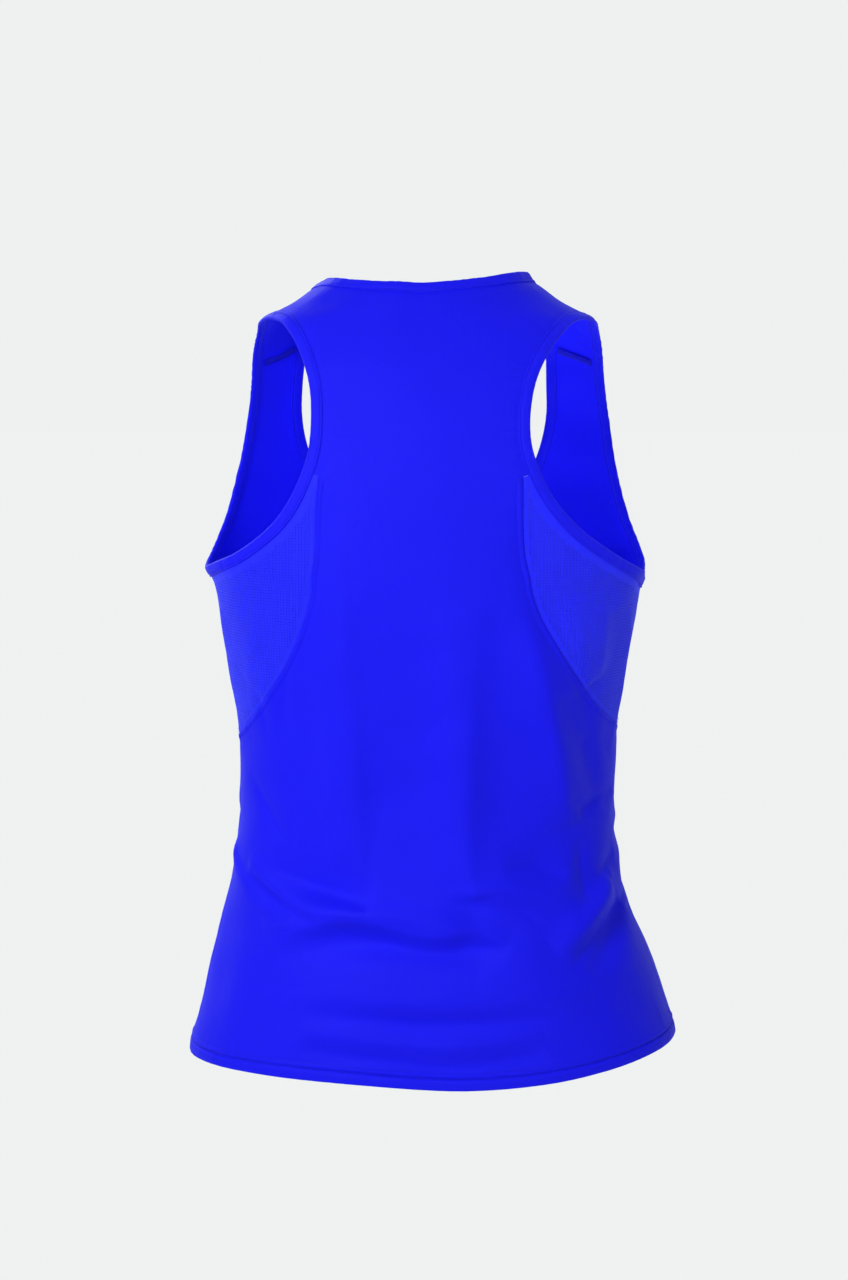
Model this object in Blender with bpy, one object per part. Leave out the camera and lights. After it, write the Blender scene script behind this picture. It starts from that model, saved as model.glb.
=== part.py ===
"""Racerback sports singlet, filled out as if it were worn, with nobody inside.

Metres, +Z up. The garment faces -Y, its back is towards +Y, and +X is the wearer's left. The
origin is midway between the two straps, level with the middle of each strap's crest, where the
shoulders hold it. A place on the garment is an angle round the body in degrees (0 at the left
side, 90 at the centre back, 180 at the right side, -90 at the centre front) and a height.
"""

import math

import bmesh
import bpy
import numpy as np
from mathutils.geometry import delaunay_2d_cdt

# Cloth and making
WALL = 0.0012  # panel cloth
BINDING_WALL = 0.0010
CLEARANCE = 0.0003  # between neighbouring pieces
BINDING_WIDTH = 0.0092
HEM_DEPTH = 0.013  # cloth turned up inside the hem
HEM_WALL = 0.0024
HEM_STEP = 0.0009  # height over which the hem's inner fold ends
NOSE_ROUNDING = 0.25  # of the binding's wall, where it folds over the cloth's edge

# Colours and finish
BLUE = (0.0144, 0.0152, 0.86)
MESH_BLUE = (0.023, 0.03, 1.0)
DEEP_BLUE = (0.012, 0.013, 0.75)
ROUGHNESS = 0.55

# Mesh spacing
BACK_SPACING = 0.0135
FRONT_SPACING = 0.018
EDGE_SPACING = 0.0148
ROW_SPACING = 0.87  # of the spacing, between staggered rows of points
EDGE_ROOM = 0.62  # of the spacing, between an outline and the nearest row
CURVE_STEPS = 24  # points worked out between two rows of an outline
INSET_STEPS = 6
PROFILE_POINTS = 600

# Rings of the filled-out form
ROUNDNESS = 2.2  # 2 is an ellipse, more is squarer
CHART_RADIUS = 0.135
SECTION_COLUMNS = ("height", "half_width", "back_depth", "front_depth", "shift")
SECTIONS = (
    (-0.607, 0.1990, 0.1170, 0.1110, -0.0060),
    (-0.588, 0.1965, 0.1160, 0.1100, -0.0060),
    (-0.565, 0.1890, 0.1140, 0.1090, -0.0055),
    (-0.535, 0.1790, 0.1115, 0.1070, -0.0045),
    (-0.500, 0.1680, 0.1070, 0.1040, -0.0022),
    (-0.465, 0.1576, 0.1010, 0.1000, 0.0004),
    (-0.425, 0.1495, 0.0960, 0.0975, 0.0012),
    (-0.385, 0.1465, 0.0940, 0.0960, 0.0008),
    (-0.335, 0.1467, 0.0970, 0.1010, 0.0000),
    (-0.285, 0.1531, 0.1015, 0.1070, 0.0000),
    (-0.240, 0.1612, 0.1055, 0.1110, 0.0000),
    (-0.216, 0.1662, 0.1070, 0.1120, 0.0000),
    (-0.200, 0.1722, 0.1077, 0.1120, 0.0000),
    (-0.162, 0.1712, 0.1080, 0.1110, 0.0000),
    (-0.102, 0.1660, 0.1020, 0.1020, 0.0000),
    (-0.052, 0.1518, 0.0880, 0.0890, 0.0000),
    (-0.033, 0.1420, 0.0790, 0.0820, 0.0000),
    (-0.014, 0.1268, 0.0685, 0.0740, 0.0000),
    (0.000, 0.1024, 0.0605, 0.0670, 0.0000),
    (0.009, 0.0897, 0.0545, 0.0600, 0.0000),
    (0.018, 0.0775, 0.0480, 0.0520, 0.0000),
    (0.038, 0.0700, 0.0360, 0.0400, 0.0000),
)

# Finished edges, the neck and the armhole on the left half and the hem all round from the left
# side seam by the back. The marks are where a seam reaches the edge.
OUTLINE_COLUMNS = ("mark", "angle", "height")
NECK = (
    ("centre back", 90, 0.0148),
    ("", 64, 0.0168),
    ("", 43, 0.0192),
    ("", 18, 0.0208),
    ("", 0, 0.0188),
    ("", -20, 0.0118),
    ("", -30, 0.0040),
    ("", -38, -0.0042),
    ("", -46.5, -0.0165),
    ("shoulder", -50, -0.0340),
    ("", -52.9, -0.0660),
    ("", -54.5, -0.0900),
    ("", -57, -0.1150),
    ("", -63, -0.1480),
    ("", -73, -0.1790),
    ("centre front", -90, -0.1930),
)
ARMHOLE = (
    ("tip", 0, -0.0165),
    ("", 20, -0.0125),
    ("", 36, -0.0175),
    ("", 45, -0.0275),
    ("", 53.5, -0.0480),
    ("", 58.3, -0.0800),
    ("", 58.9, -0.1010),
    ("mesh", 57.4, -0.1235),
    ("", 49.7, -0.1615),
    ("", 36.7, -0.1855),
    ("", 20, -0.1975),
    ("side", 4, -0.2025),
    ("", -9.3, -0.1968),
    ("", -21.4, -0.1760),
    ("", -30.7, -0.1250),
    ("", -31.2, -0.0770),
    ("shoulder", -26.5, -0.0480),
    ("", -16, -0.0258),
)
HEM = (
    ("left side", 8, -0.5855),
    ("", 28, -0.5850),
    ("", 50, -0.5852),
    ("", 72, -0.5870),
    ("", 97, -0.5910),
    ("", 116, -0.5876),
    ("", 130, -0.5824),
    ("", 150, -0.5752),
    ("right side", 172, -0.5715),
    ("", 200, -0.5725),
    ("", 235, -0.5770),
    ("", 270, -0.5800),
    ("", 305, -0.5815),
    ("", 340, -0.5840),
    ("", 368, -0.5855),
)

# Seams on the left half, as places between the edges that they join
SHOULDER_SEAM = ((-38, -0.0410),)
MESH_SEAM = (
    (61.3, -0.160),
    (61.2, -0.192),
    (57.1, -0.232),
    (48.0, -0.271),
    (33.0, -0.307),
    (17.0, -0.327),
)
SIDE_SEAM_MEETS_MESH = (4.6, -0.336)
LOWER_SIDE_SEAM = ((6.5, -0.400), (8.0, -0.480))

# The worn pose turns the right half a little: its armhole reaches in and its side is pulled.
RIGHT_REACH = 4.6  # degrees, at the angle where the racerback is narrowest
RIGHT_REACH_ANGLE = 60
RIGHT_REACH_HEIGHTS = (-0.360, -0.160)  # none below the first, the whole above the second
RIGHT_REACH_END = 90  # degrees, where the reach has faded out
NECK_TILT = 0.0025  # the back of the neck edge, higher on the right
NECK_TURN = 1.2  # degrees that the front of the neck edge turns to the left
NECK_TURN_HEIGHTS = (-0.045, -0.020)  # the whole below the first, none above the second
NECK_TILT_HEIGHTS = (0.000, 0.014)
LIFT_COLUMNS = ("height", "lift")
RIGHT_LIFTS = ((-0.574, 0.012), (-0.327, 0.008), (-0.202, -0.009), (-0.042, 0.0))
LIFT_FALLOFF = 6  # how soon the lift fades away from the side

# Largest folds, each along a path of three places. A rise below zero is a trough.
FOLD_COLUMNS = ("start", "middle", "end", "rise", "half_width")
FOLDS = (
    ((63, -0.175), (63, -0.342), (68, -0.448), 0.0035, 0.014),
    ((70, -0.190), (73, -0.357), (77, -0.459), -0.0040, 0.012),
    ((97, -0.227), (99, -0.341), (99, -0.436), 0.0030, 0.013),
    ((106, -0.227), (109, -0.341), (108, -0.437), -0.0035, 0.012),
    ((114, -0.220), (126, -0.313), (136, -0.376), 0.0035, 0.013),
    ((124, -0.228), (139, -0.322), (150, -0.384), -0.0055, 0.013),
    ((40, -0.474), (72, -0.457), (100, -0.470), 0.0045, 0.010),
    ((48, -0.496), (77, -0.481), (108, -0.492), -0.0045, 0.011),
    ((124, -0.486), (140, -0.464), (156, -0.446), 0.0045, 0.011),
    ((133, -0.506), (148, -0.484), (163, -0.462), -0.0055, 0.011),
    ((62, -0.534), (90, -0.538), (117, -0.532), -0.0030, 0.012),
    ((-62, -0.210), (-66, -0.350), (-60, -0.500), 0.0035, 0.014),
    ((-78, -0.260), (-80, -0.380), (-76, -0.520), -0.0035, 0.014),
    ((-112, -0.215), (-108, -0.360), (-114, -0.510), 0.0035, 0.014),
    ((-36, -0.455), (-70, -0.478), (-104, -0.464), 0.0035, 0.012),
)
FOLD_POINTS = 17
FOLD_FADE = 0.7  # lower makes a fold's ends shorter

# Strips of a binding's U-section that run from its inner end towards the edge
INWARD_STRIPS = (0, 1, 8, 9)


def column(rows, names, name):
    """One named column of a table."""
    place = names.index(name)
    return np.array([row[place] for row in rows])


def outline_places(rows):
    columns = [column(rows, OUTLINE_COLUMNS, name) for name in ("angle", "height")]
    return np.stack(columns, axis=1)


def outline_marks(rows):
    """The point number of each marked row, on the smooth curve through the rows."""
    names = column(rows, OUTLINE_COLUMNS, "mark")
    return {name: number * CURVE_STEPS for number, name in enumerate(names) if name}


def smooth_between(value, known, results):
    """Reads a column between its rows on a smooth curve that never overshoots a row."""
    gaps = np.diff(known)
    slopes = np.diff(results) / gaps
    tangents = np.empty(len(known))
    tangents[0] = slopes[0]
    tangents[-1] = slopes[-1]
    before, after = slopes[:-1], slopes[1:]
    same_way = before * after > 0
    safe_sum = np.where(same_way, before + after, 1.0)
    tangents[1:-1] = np.where(same_way, 2 * before * after / safe_sum, 0.0)
    row = np.clip(np.searchsorted(known, value) - 1, 0, len(gaps) - 1)
    part = (value - known[row]) / gaps[row]
    rest = 1 - part
    return (
        (1 + 2 * part) * rest**2 * results[row]
        + part * rest**2 * gaps[row] * tangents[row]
        + part**2 * (3 - 2 * part) * results[row + 1]
        - part**2 * rest * gaps[row] * tangents[row + 1]
    )


def section(height, name):
    heights = column(SECTIONS, SECTION_COLUMNS, "height")
    return smooth_between(height, heights, column(SECTIONS, SECTION_COLUMNS, name))


def form(places):
    """Points of the smooth filled-out form, for places given as rows of angle and height."""
    angle = np.radians(places[:, 0])
    height = places[:, 1]
    cosine, sine = np.cos(angle), np.sin(angle)
    reach = (np.abs(cosine) ** ROUNDNESS + np.abs(sine) ** ROUNDNESS) ** (-1 / ROUNDNESS)
    depth = np.where(sine > 0, section(height, "back_depth"), section(height, "front_depth"))
    across = section(height, "shift") + section(height, "half_width") * reach * cosine
    return np.stack([across, depth * reach * sine, height], axis=1)


def slopes_of(surface, places):
    """How far the surface moves for one degree and for one metre of height."""
    turn = np.array([0.2, 0.0])
    climb = np.array([0.0, 0.0003])
    by_angle = (surface(places + turn) - surface(places - turn)) / (2 * turn[0])
    by_height = (surface(places + climb) - surface(places - climb)) / (2 * climb[1])
    return by_angle, by_height


def unit(vectors):
    return vectors / np.linalg.norm(vectors, axis=-1, keepdims=True)


def outward(surface, places):
    return unit(np.cross(*slopes_of(surface, places)))


def rise(height):
    """Length along the garment's mean upright profile, so that a chart keeps its proportions."""
    heights = profile_heights()
    widths = ("half_width", "back_depth", "front_depth")
    radius = sum(section(heights, name) for name in widths) / len(widths)
    lengths = np.hypot(np.diff(heights), np.diff(radius))
    return np.interp(height, heights, np.concatenate([[0], np.cumsum(lengths)]))


def profile_heights():
    heights = column(SECTIONS, SECTION_COLUMNS, "height")
    return np.linspace(heights[0], heights[-1], PROFILE_POINTS)


def height_at(length):
    heights = profile_heights()
    return np.interp(length, rise(heights), heights)


def to_chart(places):
    return np.stack([np.radians(places[:, 0]) * CHART_RADIUS, rise(places[:, 1])], axis=1)


def from_chart(spots):
    return np.stack([np.degrees(spots[:, 0] / CHART_RADIUS), height_at(spots[:, 1])], axis=1)


def fold_rise(places):
    """How far the folds lift the cloth off the smooth form."""
    spots = to_chart(places)
    total = np.zeros(len(places))
    for row in FOLDS:
        fold = dict(zip(FOLD_COLUMNS, row))
        along = np.linspace(0, 1, FOLD_POINTS)[:, None]
        path = np.array([fold["start"], fold["middle"], fold["end"]], float)
        start, middle, end = to_chart(path)
        bend = 2 * middle - (start + end) / 2
        path = (1 - along) ** 2 * start + 2 * along * (1 - along) * bend + along**2 * end
        distance, part = nearest_on(path, spots)
        fade = np.sin(math.pi * np.clip(part, 0, 1)) ** FOLD_FADE
        total += fold["rise"] * fade * np.exp(-((distance / fold["half_width"]) ** 2))
    return total


def nearest_on(path, spots):
    """Distance of each spot from a path, and how far along the path it is, from 0 to 1."""
    start, step = path[:-1], np.diff(path, axis=0)
    offset = spots[:, None] - start[None]
    part = np.clip((offset * step).sum(2) / (step**2).sum(1), 0, 1)
    gaps = np.linalg.norm(offset - part[..., None] * step, axis=2)
    best = gaps.argmin(1)
    rows = np.arange(len(spots))
    return gaps[rows, best], (best + part[rows, best]) / len(step)


def cloth(places):
    """Points of the cloth's outer face."""
    return form(places) + outward(form, places) * fold_rise(places)[:, None]


def shifted(places, moves):
    """Places reached from these by small moves in space along the form."""
    by_angle, by_height = slopes_of(form, places)
    aa, ah, hh = (by_angle**2).sum(1), (by_angle * by_height).sum(1), (by_height**2).sum(1)
    ma, mh = (by_angle * moves).sum(1), (by_height * moves).sum(1)
    spread = aa * hh - ah**2
    return places + np.stack([(ma * hh - mh * ah) / spread, (mh * aa - ma * ah) / spread], 1)


def inset(loop, distance, side):
    """Moves a closed loop of places over the cloth, to its left for side 1, right for -1."""
    period = np.array([loop[-1, 0] - loop[0, 0], 0.0])
    for _ in range(INSET_STEPS):
        ring = np.concatenate([loop[-2:-1] - period, loop, loop[1:2] + period])
        points = form(ring)
        forward = unit(points[2:] - points[:-2])
        left = np.cross(outward(form, loop), forward)
        loop = shifted(loop, left * side * distance / INSET_STEPS)
    return loop


def curve(places):
    """A smooth open curve through the places, with CURVE_STEPS points for each row."""
    spots = to_chart(np.array(places, float))
    ends = np.stack([2 * spots[0] - spots[1], 2 * spots[-1] - spots[-2]])
    return from_chart(curve_between(np.concatenate([ends[:1], spots, ends[1:]])))


def curve_between(spots):
    """A smooth curve from the second spot to the last but one."""
    lengths = np.linalg.norm(np.diff(spots, axis=0), axis=1)
    speed = np.diff(spots, axis=0) / lengths[:, None]
    before, after = lengths[:-1, None], lengths[1:, None]
    tangents = (speed[:-1] * after + speed[1:] * before) / (before + after)
    part = np.arange(CURVE_STEPS) / CURVE_STEPS
    pieces = []
    for row in range(len(spots) - 3):
        gap = lengths[row + 1]
        rest = 1 - part
        pieces.append(
            np.outer((1 + 2 * part) * rest**2, spots[row + 1])
            + np.outer(part * rest**2 * gap, tangents[row])
            + np.outer(part**2 * (3 - 2 * part), spots[row + 2])
            - np.outer(part**2 * rest * gap, tangents[row + 1])
        )
    return np.concatenate(pieces + [spots[-2:-1]])


def right_place(angle, height):
    """The right half's place for a place of the left half, in the worn pose."""
    nearness = max(angle, 0) / RIGHT_REACH_ANGLE
    fade = np.interp(height, RIGHT_REACH_HEIGHTS, (0, 1))
    fade *= np.interp(angle, (RIGHT_REACH_ANGLE, RIGHT_REACH_END), (1, 0))
    lift = np.interp(height, column(RIGHT_LIFTS, LIFT_COLUMNS, "height"),
                     column(RIGHT_LIFTS, LIFT_COLUMNS, "lift"))
    sideness = math.cos(math.radians(angle)) ** LIFT_FALLOFF
    return 180 - angle - RIGHT_REACH * nearness**3 * fade, height + lift * sideness


def on_side(places, side):
    """These places of the left half, or the right half's for them."""
    if side == "left":
        return list(places)
    return [right_place(*place) for place in places]


def closed_curve(rows):
    """A smooth loop through places. The last row is the first one again, a turn on or not."""
    spots = to_chart(np.array(rows, float))
    period = spots[-1] - spots[0]
    ring = np.concatenate([spots[-2:-1] - period, spots, spots[1:2] + period])
    return from_chart(curve_between(ring))


def edge_rows(loop, side):
    """Rows of the bound edge: the cloth's cut edge, and the middle and end of its binding."""
    cut = BINDING_WALL + CLEARANCE
    return [inset(loop, d, side) for d in (cut, (cut + BINDING_WIDTH) / 2, BINDING_WIDTH)]


def neck_edge():
    """The whole neck edge, round from the right shoulder seam by the back."""
    left = outline_places(NECK)
    right = left * (-1, 1) + (180, 0)
    shoulder = outline_marks(NECK)["shoulder"] // CURVE_STEPS
    around = [*right[shoulder::-1], *left[1:], *(right[-2:shoulder - 1:-1] - (360, 0))]
    loop = closed_curve([neck_pose(*place) for place in around])
    marks = {"right shoulder": 0, "left shoulder": 2 * shoulder * CURVE_STEPS}
    return {"rows": edge_rows(loop, 1), "marks": marks, "bound": True}


def neck_pose(angle, height):
    """A place of the neck edge, in the worn pose."""
    tilt = NECK_TILT * math.cos(math.radians(angle))
    tilt *= np.interp(height, NECK_TILT_HEIGHTS, (0, 1))
    return angle + NECK_TURN * np.interp(height, NECK_TURN_HEIGHTS, (1, 0)), height - tilt


def armhole_edge(side):
    """An armhole's edge, from the tip of the shoulder down the back and up the front."""
    loop = closed_curve(on_side(outline_places(ARMHOLE + ARMHOLE[:1]), side))
    turn = 1 if side == "left" else -1
    return {"rows": edge_rows(loop, turn), "marks": outline_marks(ARMHOLE), "bound": True}


def hem_edge():
    """The hem, with the rows where its fold ends."""
    loop = closed_curve(outline_places(HEM))
    rows = [loop] + [inset(loop, d, 1) for d in (HEM_DEPTH, HEM_DEPTH + HEM_STEP)]
    return {"rows": rows, "marks": outline_marks(HEM), "bound": False}


def evenly(points, spacing, least=1):
    """Positions along a row of points, evenly spaced in space, as numbers of its points."""
    lengths = np.linalg.norm(np.diff(points, axis=0), axis=1)
    travelled = np.concatenate([[0], np.cumsum(lengths)])
    count = max(least, round(travelled[-1] / spacing))
    return np.interp(np.linspace(0, travelled[-1], count + 1), travelled, np.arange(len(points)))


def read_at(loop, numbers):
    """Places of a loop at whole or part point numbers, which may run past its end."""
    count = len(loop) - 1
    period = np.array([loop[-1, 0] - loop[0, 0], 0.0])
    turns = np.floor(numbers / count)
    inside = numbers - turns * count
    known = np.arange(count + 1)
    places = np.stack([np.interp(inside, known, loop[:, axis]) for axis in (0, 1)], axis=1)
    return places + turns[:, None] * period


def stretch(edge, first, last, spacing):
    """The rows of an edge from one mark forward to another, all with the same stations."""
    count = len(edge["rows"][0]) - 1
    start, stop = edge["marks"][first], edge["marks"][last]
    if stop <= start:
        stop += count
    numbers = np.arange(start, stop + 1)
    middle = form(read_at(edge["rows"][1], numbers))
    stations = start + evenly(middle, spacing)
    return [read_at(row, stations) for row in edge["rows"]]


def rung(edge, mark, near):
    """The places of an edge's rows at a mark, from the edge inwards, on the turn near an angle."""
    number = np.array([float(edge["marks"][mark])])
    places = np.concatenate([read_at(row, number) for row in edge["rows"]])
    return places + nearest_turn(places[0, 0], near)


def nearest_turn(angle, target):
    """The move, in whole turns, that brings an angle nearest to a target."""
    return np.array([360.0 * round((target - angle) / 360), 0.0])


def seam(start, between, end, spacing):
    """A seam line through the rungs at its ends and the rows between them."""
    start, end = np.array(start, float), np.array(end, float)
    line = curve([start[-1], *between, end[-1]])
    stations = evenly(form(line), spacing, least=2)
    known = np.arange(len(line))
    line = np.stack([np.interp(stations, known, line[:, axis]) for axis in (0, 1)], axis=1)
    return np.concatenate([start[:-1], line, end[-2::-1]])


def joined(sides):
    """The same sides, each counted on the turn where the one before it ends."""
    end = sides[0]["rows"][0][0]
    for side in sides:
        move = nearest_turn(side["rows"][0][0, 0], end[0])
        side["rows"] = [row + move for row in side["rows"]]
        end = side["rows"][0][-1]
    return sides


def panel_outline(sides):
    """One closed outline from a panel's sides, with the gap and the start of each side."""
    outline, gaps, starts = [], [], []
    for side in sides:
        line = side["rows"][0]
        starts.append(len(outline))
        outline.extend(line[:-1])
        gaps.extend([side["gap"]] * (len(line) - 1))
    return np.array(outline), np.array(gaps), starts


def opened(outline, gaps):
    """Moves an outline that runs round its cloth anticlockwise inwards by each side's gap."""
    points = form(outline)
    normals = outward(form, outline)
    forward = unit(np.roll(points, -1, 0) - points)
    inward = unit(np.cross(normals, forward))
    before, after = np.roll(inward, 1, 0), inward
    gap_before, gap_after = np.roll(gaps, 1), gaps
    dot = np.clip((before * after).sum(1), -0.999, 0.999)
    straight = dot > 0.98
    spread = np.where(straight, 1.0, 1 - dot**2)
    first = np.where(straight, gap_before / 2, (gap_before - dot * gap_after) / spread)
    second = np.where(straight, gap_after / 2, (gap_after - dot * gap_before) / spread)
    return shifted(outline, first[:, None] * before + second[:, None] * after)


def inside_outline(spots, outline):
    ends = np.roll(outline, -1, 0)
    crosses = (outline[:, 1] > spots[:, None, 1]) != (ends[:, 1] > spots[:, None, 1])
    climb = np.where(ends[:, 1] == outline[:, 1], 1.0, ends[:, 1] - outline[:, 1])
    part = (spots[:, None, 1] - outline[:, 1]) / climb
    reach = outline[:, 0] + part * (ends[:, 0] - outline[:, 0])
    return (crosses & (spots[:, None, 0] < reach)).sum(1) % 2 == 1


def fill_places(outline, spacing):
    """Places that fill an outline in staggered rows, clear of its edge."""
    spots = to_chart(outline)
    low, high = spots.min(0), spots.max(0)
    filling = []
    for number, level in enumerate(np.arange(low[1], high[1], spacing * ROW_SPACING)):
        height = float(height_at(level))
        ring = sum(section(height, name) for name in ("half_width", "back_depth")) / 2
        step = spacing * CHART_RADIUS / ring
        count = math.ceil((high[0] - low[0]) / step / 2) + 1
        across = (low[0] + high[0]) / 2 + step * (np.arange(-count, count) + (number % 2) / 2)
        filling.extend((x, level) for x in across)
    filling = np.array(filling)
    filling = filling[inside_outline(filling, spots)]
    gaps, _ = nearest_on(np.concatenate([spots, spots[:1]]), filling)
    return from_chart(filling[gaps > EDGE_ROOM * spacing])


def panel(name, sides, spacing, colour):
    """A cloth panel inside its sides, as a closed wall."""
    outline, gaps, starts = panel_outline(joined(sides))
    places = list(opened(outline, gaps))
    border = len(places)
    links = [(n, (n + 1) % border) for n in range(border)]
    thick = set()
    inner = [[n] for n in range(border)]
    for side, start in zip(sides, starts):
        if len(side["rows"]) == 1:
            continue
        stop = start + len(side["rows"][0]) - 1
        chain = [n % border for n in range(start, stop + 1)]
        for depth, row in enumerate(side["rows"][1:], 1):
            fresh = list(range(len(places), len(places) + len(row) - 2))
            places.extend(row[1:-1])
            following = [(start - depth) % border, *fresh, (stop + depth) % border]
            links += list(zip(following, following[1:]))
            if side["bound"]:
                links += list(zip(chain[1:-1], fresh))
                turned = side["backwards"]
                links += list(zip(following, chain[1:]) if turned else zip(chain, following[1:]))
            elif depth == 1:
                thick.update(chain)
                thick.update(following)
            chain = following
        mark_inner(inner, chain, start, stop, border, len(side["rows"]) - 1)
    ring = [n for spot in inner for n in spot]
    places.extend(fill_places(np.array(places)[ring], spacing))
    places = np.array(places)
    spots = to_chart(places)
    points, _, faces, origins, _, _ = delaunay_2d_cdt(
        [tuple(spot) for spot in spots], links, [], 0, 1e-8, True)
    if len(points) != len(places):
        raise ValueError(name + ": the outline crosses itself")
    faces = np.array([[origins[n][0] for n in face] for face in faces])
    faces = faces[inside_outline(spots[faces].mean(1), spots[:border])]
    wall = np.array([HEM_WALL if n in thick else WALL for n in range(len(places))])
    return walled(name, places, faces, wall, border, colour)


def mark_inner(inner, chain, start, stop, border, depth):
    """Notes the outline inside an edge's rows, which is what the filling stays within."""
    for n in range(start - depth, stop + depth + 1):
        inner[n % border] = []
    inner[start % border] = list(chain)


def walled(name, places, faces, wall, border, colour):
    """Gives a sheet its wall, inwards, and closes it along its outline."""
    outer = cloth(places)
    inner = outer - outward(cloth, places) * wall[:, None]
    count = len(places)
    solid = faces.tolist() + (faces[:, ::-1] + count).tolist()
    for n in range(border):
        following = (n + 1) % border
        solid.append((following, n, n + count))
        solid.append((following, n + count, following + count))
    return add_object(name, np.concatenate([outer, inner]), solid, colour)


def binding(name, edge, marks, spacing, colour):
    """A strip folded over an edge: one closed U-shaped wall all round."""
    pieces = [stretch(edge, a, b, spacing) for a, b in zip(marks, marks[1:] + marks[:1])]
    rows = [np.concatenate([piece[n][:-1] for piece in pieces]) for n in range(3)]
    cut, middle, end = [cloth(row) for row in rows]
    cut_out, middle_out, end_out = [outward(cloth, row) for row in rows]
    away = unit(cut - middle)
    over = CLEARANCE + BINDING_WALL
    under = WALL + CLEARANCE
    nose = away * over
    round_off = NOSE_ROUNDING * BINDING_WALL
    section_rows = [
        end + end_out * over,
        middle + middle_out * over,
        cut + cut_out * over,
        cut + nose + cut_out * (CLEARANCE + round_off),
        cut + nose - cut_out * (under + round_off),
        cut - cut_out * (under + BINDING_WALL),
        middle - middle_out * (under + BINDING_WALL),
        end - end_out * (under + BINDING_WALL),
        end - end_out * under,
        middle - middle_out * under,
        cut + away * CLEARANCE - cut_out * under,
        cut + away * CLEARANCE + cut_out * CLEARANCE,
        middle + middle_out * CLEARANCE,
        end + end_out * CLEARANCE,
    ]
    count, width = len(cut), len(section_rows)
    points = np.stack(section_rows, axis=1).reshape(-1, 3)
    faces = []
    for station in range(count):
        here, there = station * width, ((station + 1) % count) * width
        for n in range(width):
            following = (n + 1) % width
            corners = (here + n, here + following, there + following, there + n)
            if n in INWARD_STRIPS:
                faces += [(corners[0], corners[1], corners[3]), (corners[1], corners[2], corners[3])]
            else:
                faces += [(corners[0], corners[1], corners[2]), (corners[0], corners[2], corners[3])]
    return add_object(name, points, faces, colour)


def add_object(name, points, faces, colour):
    mesh = bpy.data.meshes.new(name)
    mesh.from_pydata([tuple(point) for point in points], [], faces)
    shape = bmesh.new()
    shape.from_mesh(mesh)
    bmesh.ops.recalc_face_normals(shape, faces=shape.faces)
    shape.to_mesh(mesh)
    shape.free()
    mesh.shade_smooth()
    mesh.materials.append(fabric(name, colour))
    made = bpy.data.objects.new(name, mesh)
    bpy.context.scene.collection.objects.link(made)
    return made


def fabric(name, colour):
    made = bpy.data.materials.new(name)
    made.use_nodes = True
    shader = made.node_tree.nodes["Principled BSDF"]
    shader.inputs["Base Color"].default_value = (*colour, 1)
    shader.inputs["Roughness"].default_value = ROUGHNESS
    shader.inputs["Metallic"].default_value = 0
    made.diffuse_color = (*colour, 1)
    return made


def plain(line):
    """A side of a panel that is a seam."""
    return {"rows": [line], "gap": CLEARANCE / 2}


def along_edge(edge, first, last, spacing, backwards=False):
    """A side of a panel that runs along an edge, with the edge's rows."""
    rows = stretch(edge, first, last, spacing)
    if backwards:
        rows = [row[::-1] for row in rows]
    return {"rows": rows, "gap": 0.0, "bound": edge["bound"], "backwards": backwards}


def side_seams(side, neck, arm, hem):
    """The seams of one side, each from top to bottom or from the neck outwards."""
    middle = 0 if side == "left" else 180
    meeting = on_side([SIDE_SEAM_MEETS_MESH], side)
    neck_rung = rung(neck, side + " shoulder", middle)
    hem_rung = rung(hem, side + " side", middle)
    arm_rungs = {mark: rung(arm, mark, middle) for mark in ("shoulder", "mesh", "side")}
    return {
        "shoulder": seam(neck_rung, on_side(SHOULDER_SEAM, side), arm_rungs["shoulder"],
                         EDGE_SPACING),
        "mesh": seam(arm_rungs["mesh"], on_side(MESH_SEAM, side), meeting, EDGE_SPACING),
        "upper side": seam(arm_rungs["side"], [], meeting, EDGE_SPACING),
        "lower side": seam(meeting, on_side(LOWER_SIDE_SEAM, side), hem_rung, EDGE_SPACING),
    }


def back_sides(seams, neck, arms, hem):
    left, right = seams["left"], seams["right"]
    return [
        along_edge(hem, "left side", "right side", BACK_SPACING),
        plain(right["lower side"][::-1]),
        plain(right["mesh"][::-1]),
        along_edge(arms["right"], "shoulder", "mesh", EDGE_SPACING, backwards=True),
        plain(right["shoulder"][::-1]),
        along_edge(neck, "right shoulder", "left shoulder", EDGE_SPACING),
        plain(left["shoulder"]),
        along_edge(arms["left"], "shoulder", "mesh", EDGE_SPACING),
        plain(left["mesh"]),
        plain(left["lower side"]),
    ]


def front_sides(seams, neck, arms, hem):
    left, right = seams["left"], seams["right"]
    return [
        along_edge(hem, "right side", "left side", FRONT_SPACING),
        plain(left["lower side"][::-1]),
        plain(left["upper side"][::-1]),
        along_edge(arms["left"], "side", "shoulder", EDGE_SPACING),
        plain(left["shoulder"][::-1]),
        along_edge(neck, "left shoulder", "right shoulder", EDGE_SPACING),
        plain(right["shoulder"]),
        along_edge(arms["right"], "side", "shoulder", EDGE_SPACING, backwards=True),
        plain(right["upper side"]),
        plain(right["lower side"]),
    ]


def mesh_sides(seams, arm, side):
    if side == "left":
        return [
            plain(seams["upper side"]),
            plain(seams["mesh"][::-1]),
            along_edge(arm, "mesh", "side", EDGE_SPACING),
        ]
    return [
        plain(seams["mesh"]),
        plain(seams["upper side"][::-1]),
        along_edge(arm, "mesh", "side", EDGE_SPACING, backwards=True),
    ]


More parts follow.
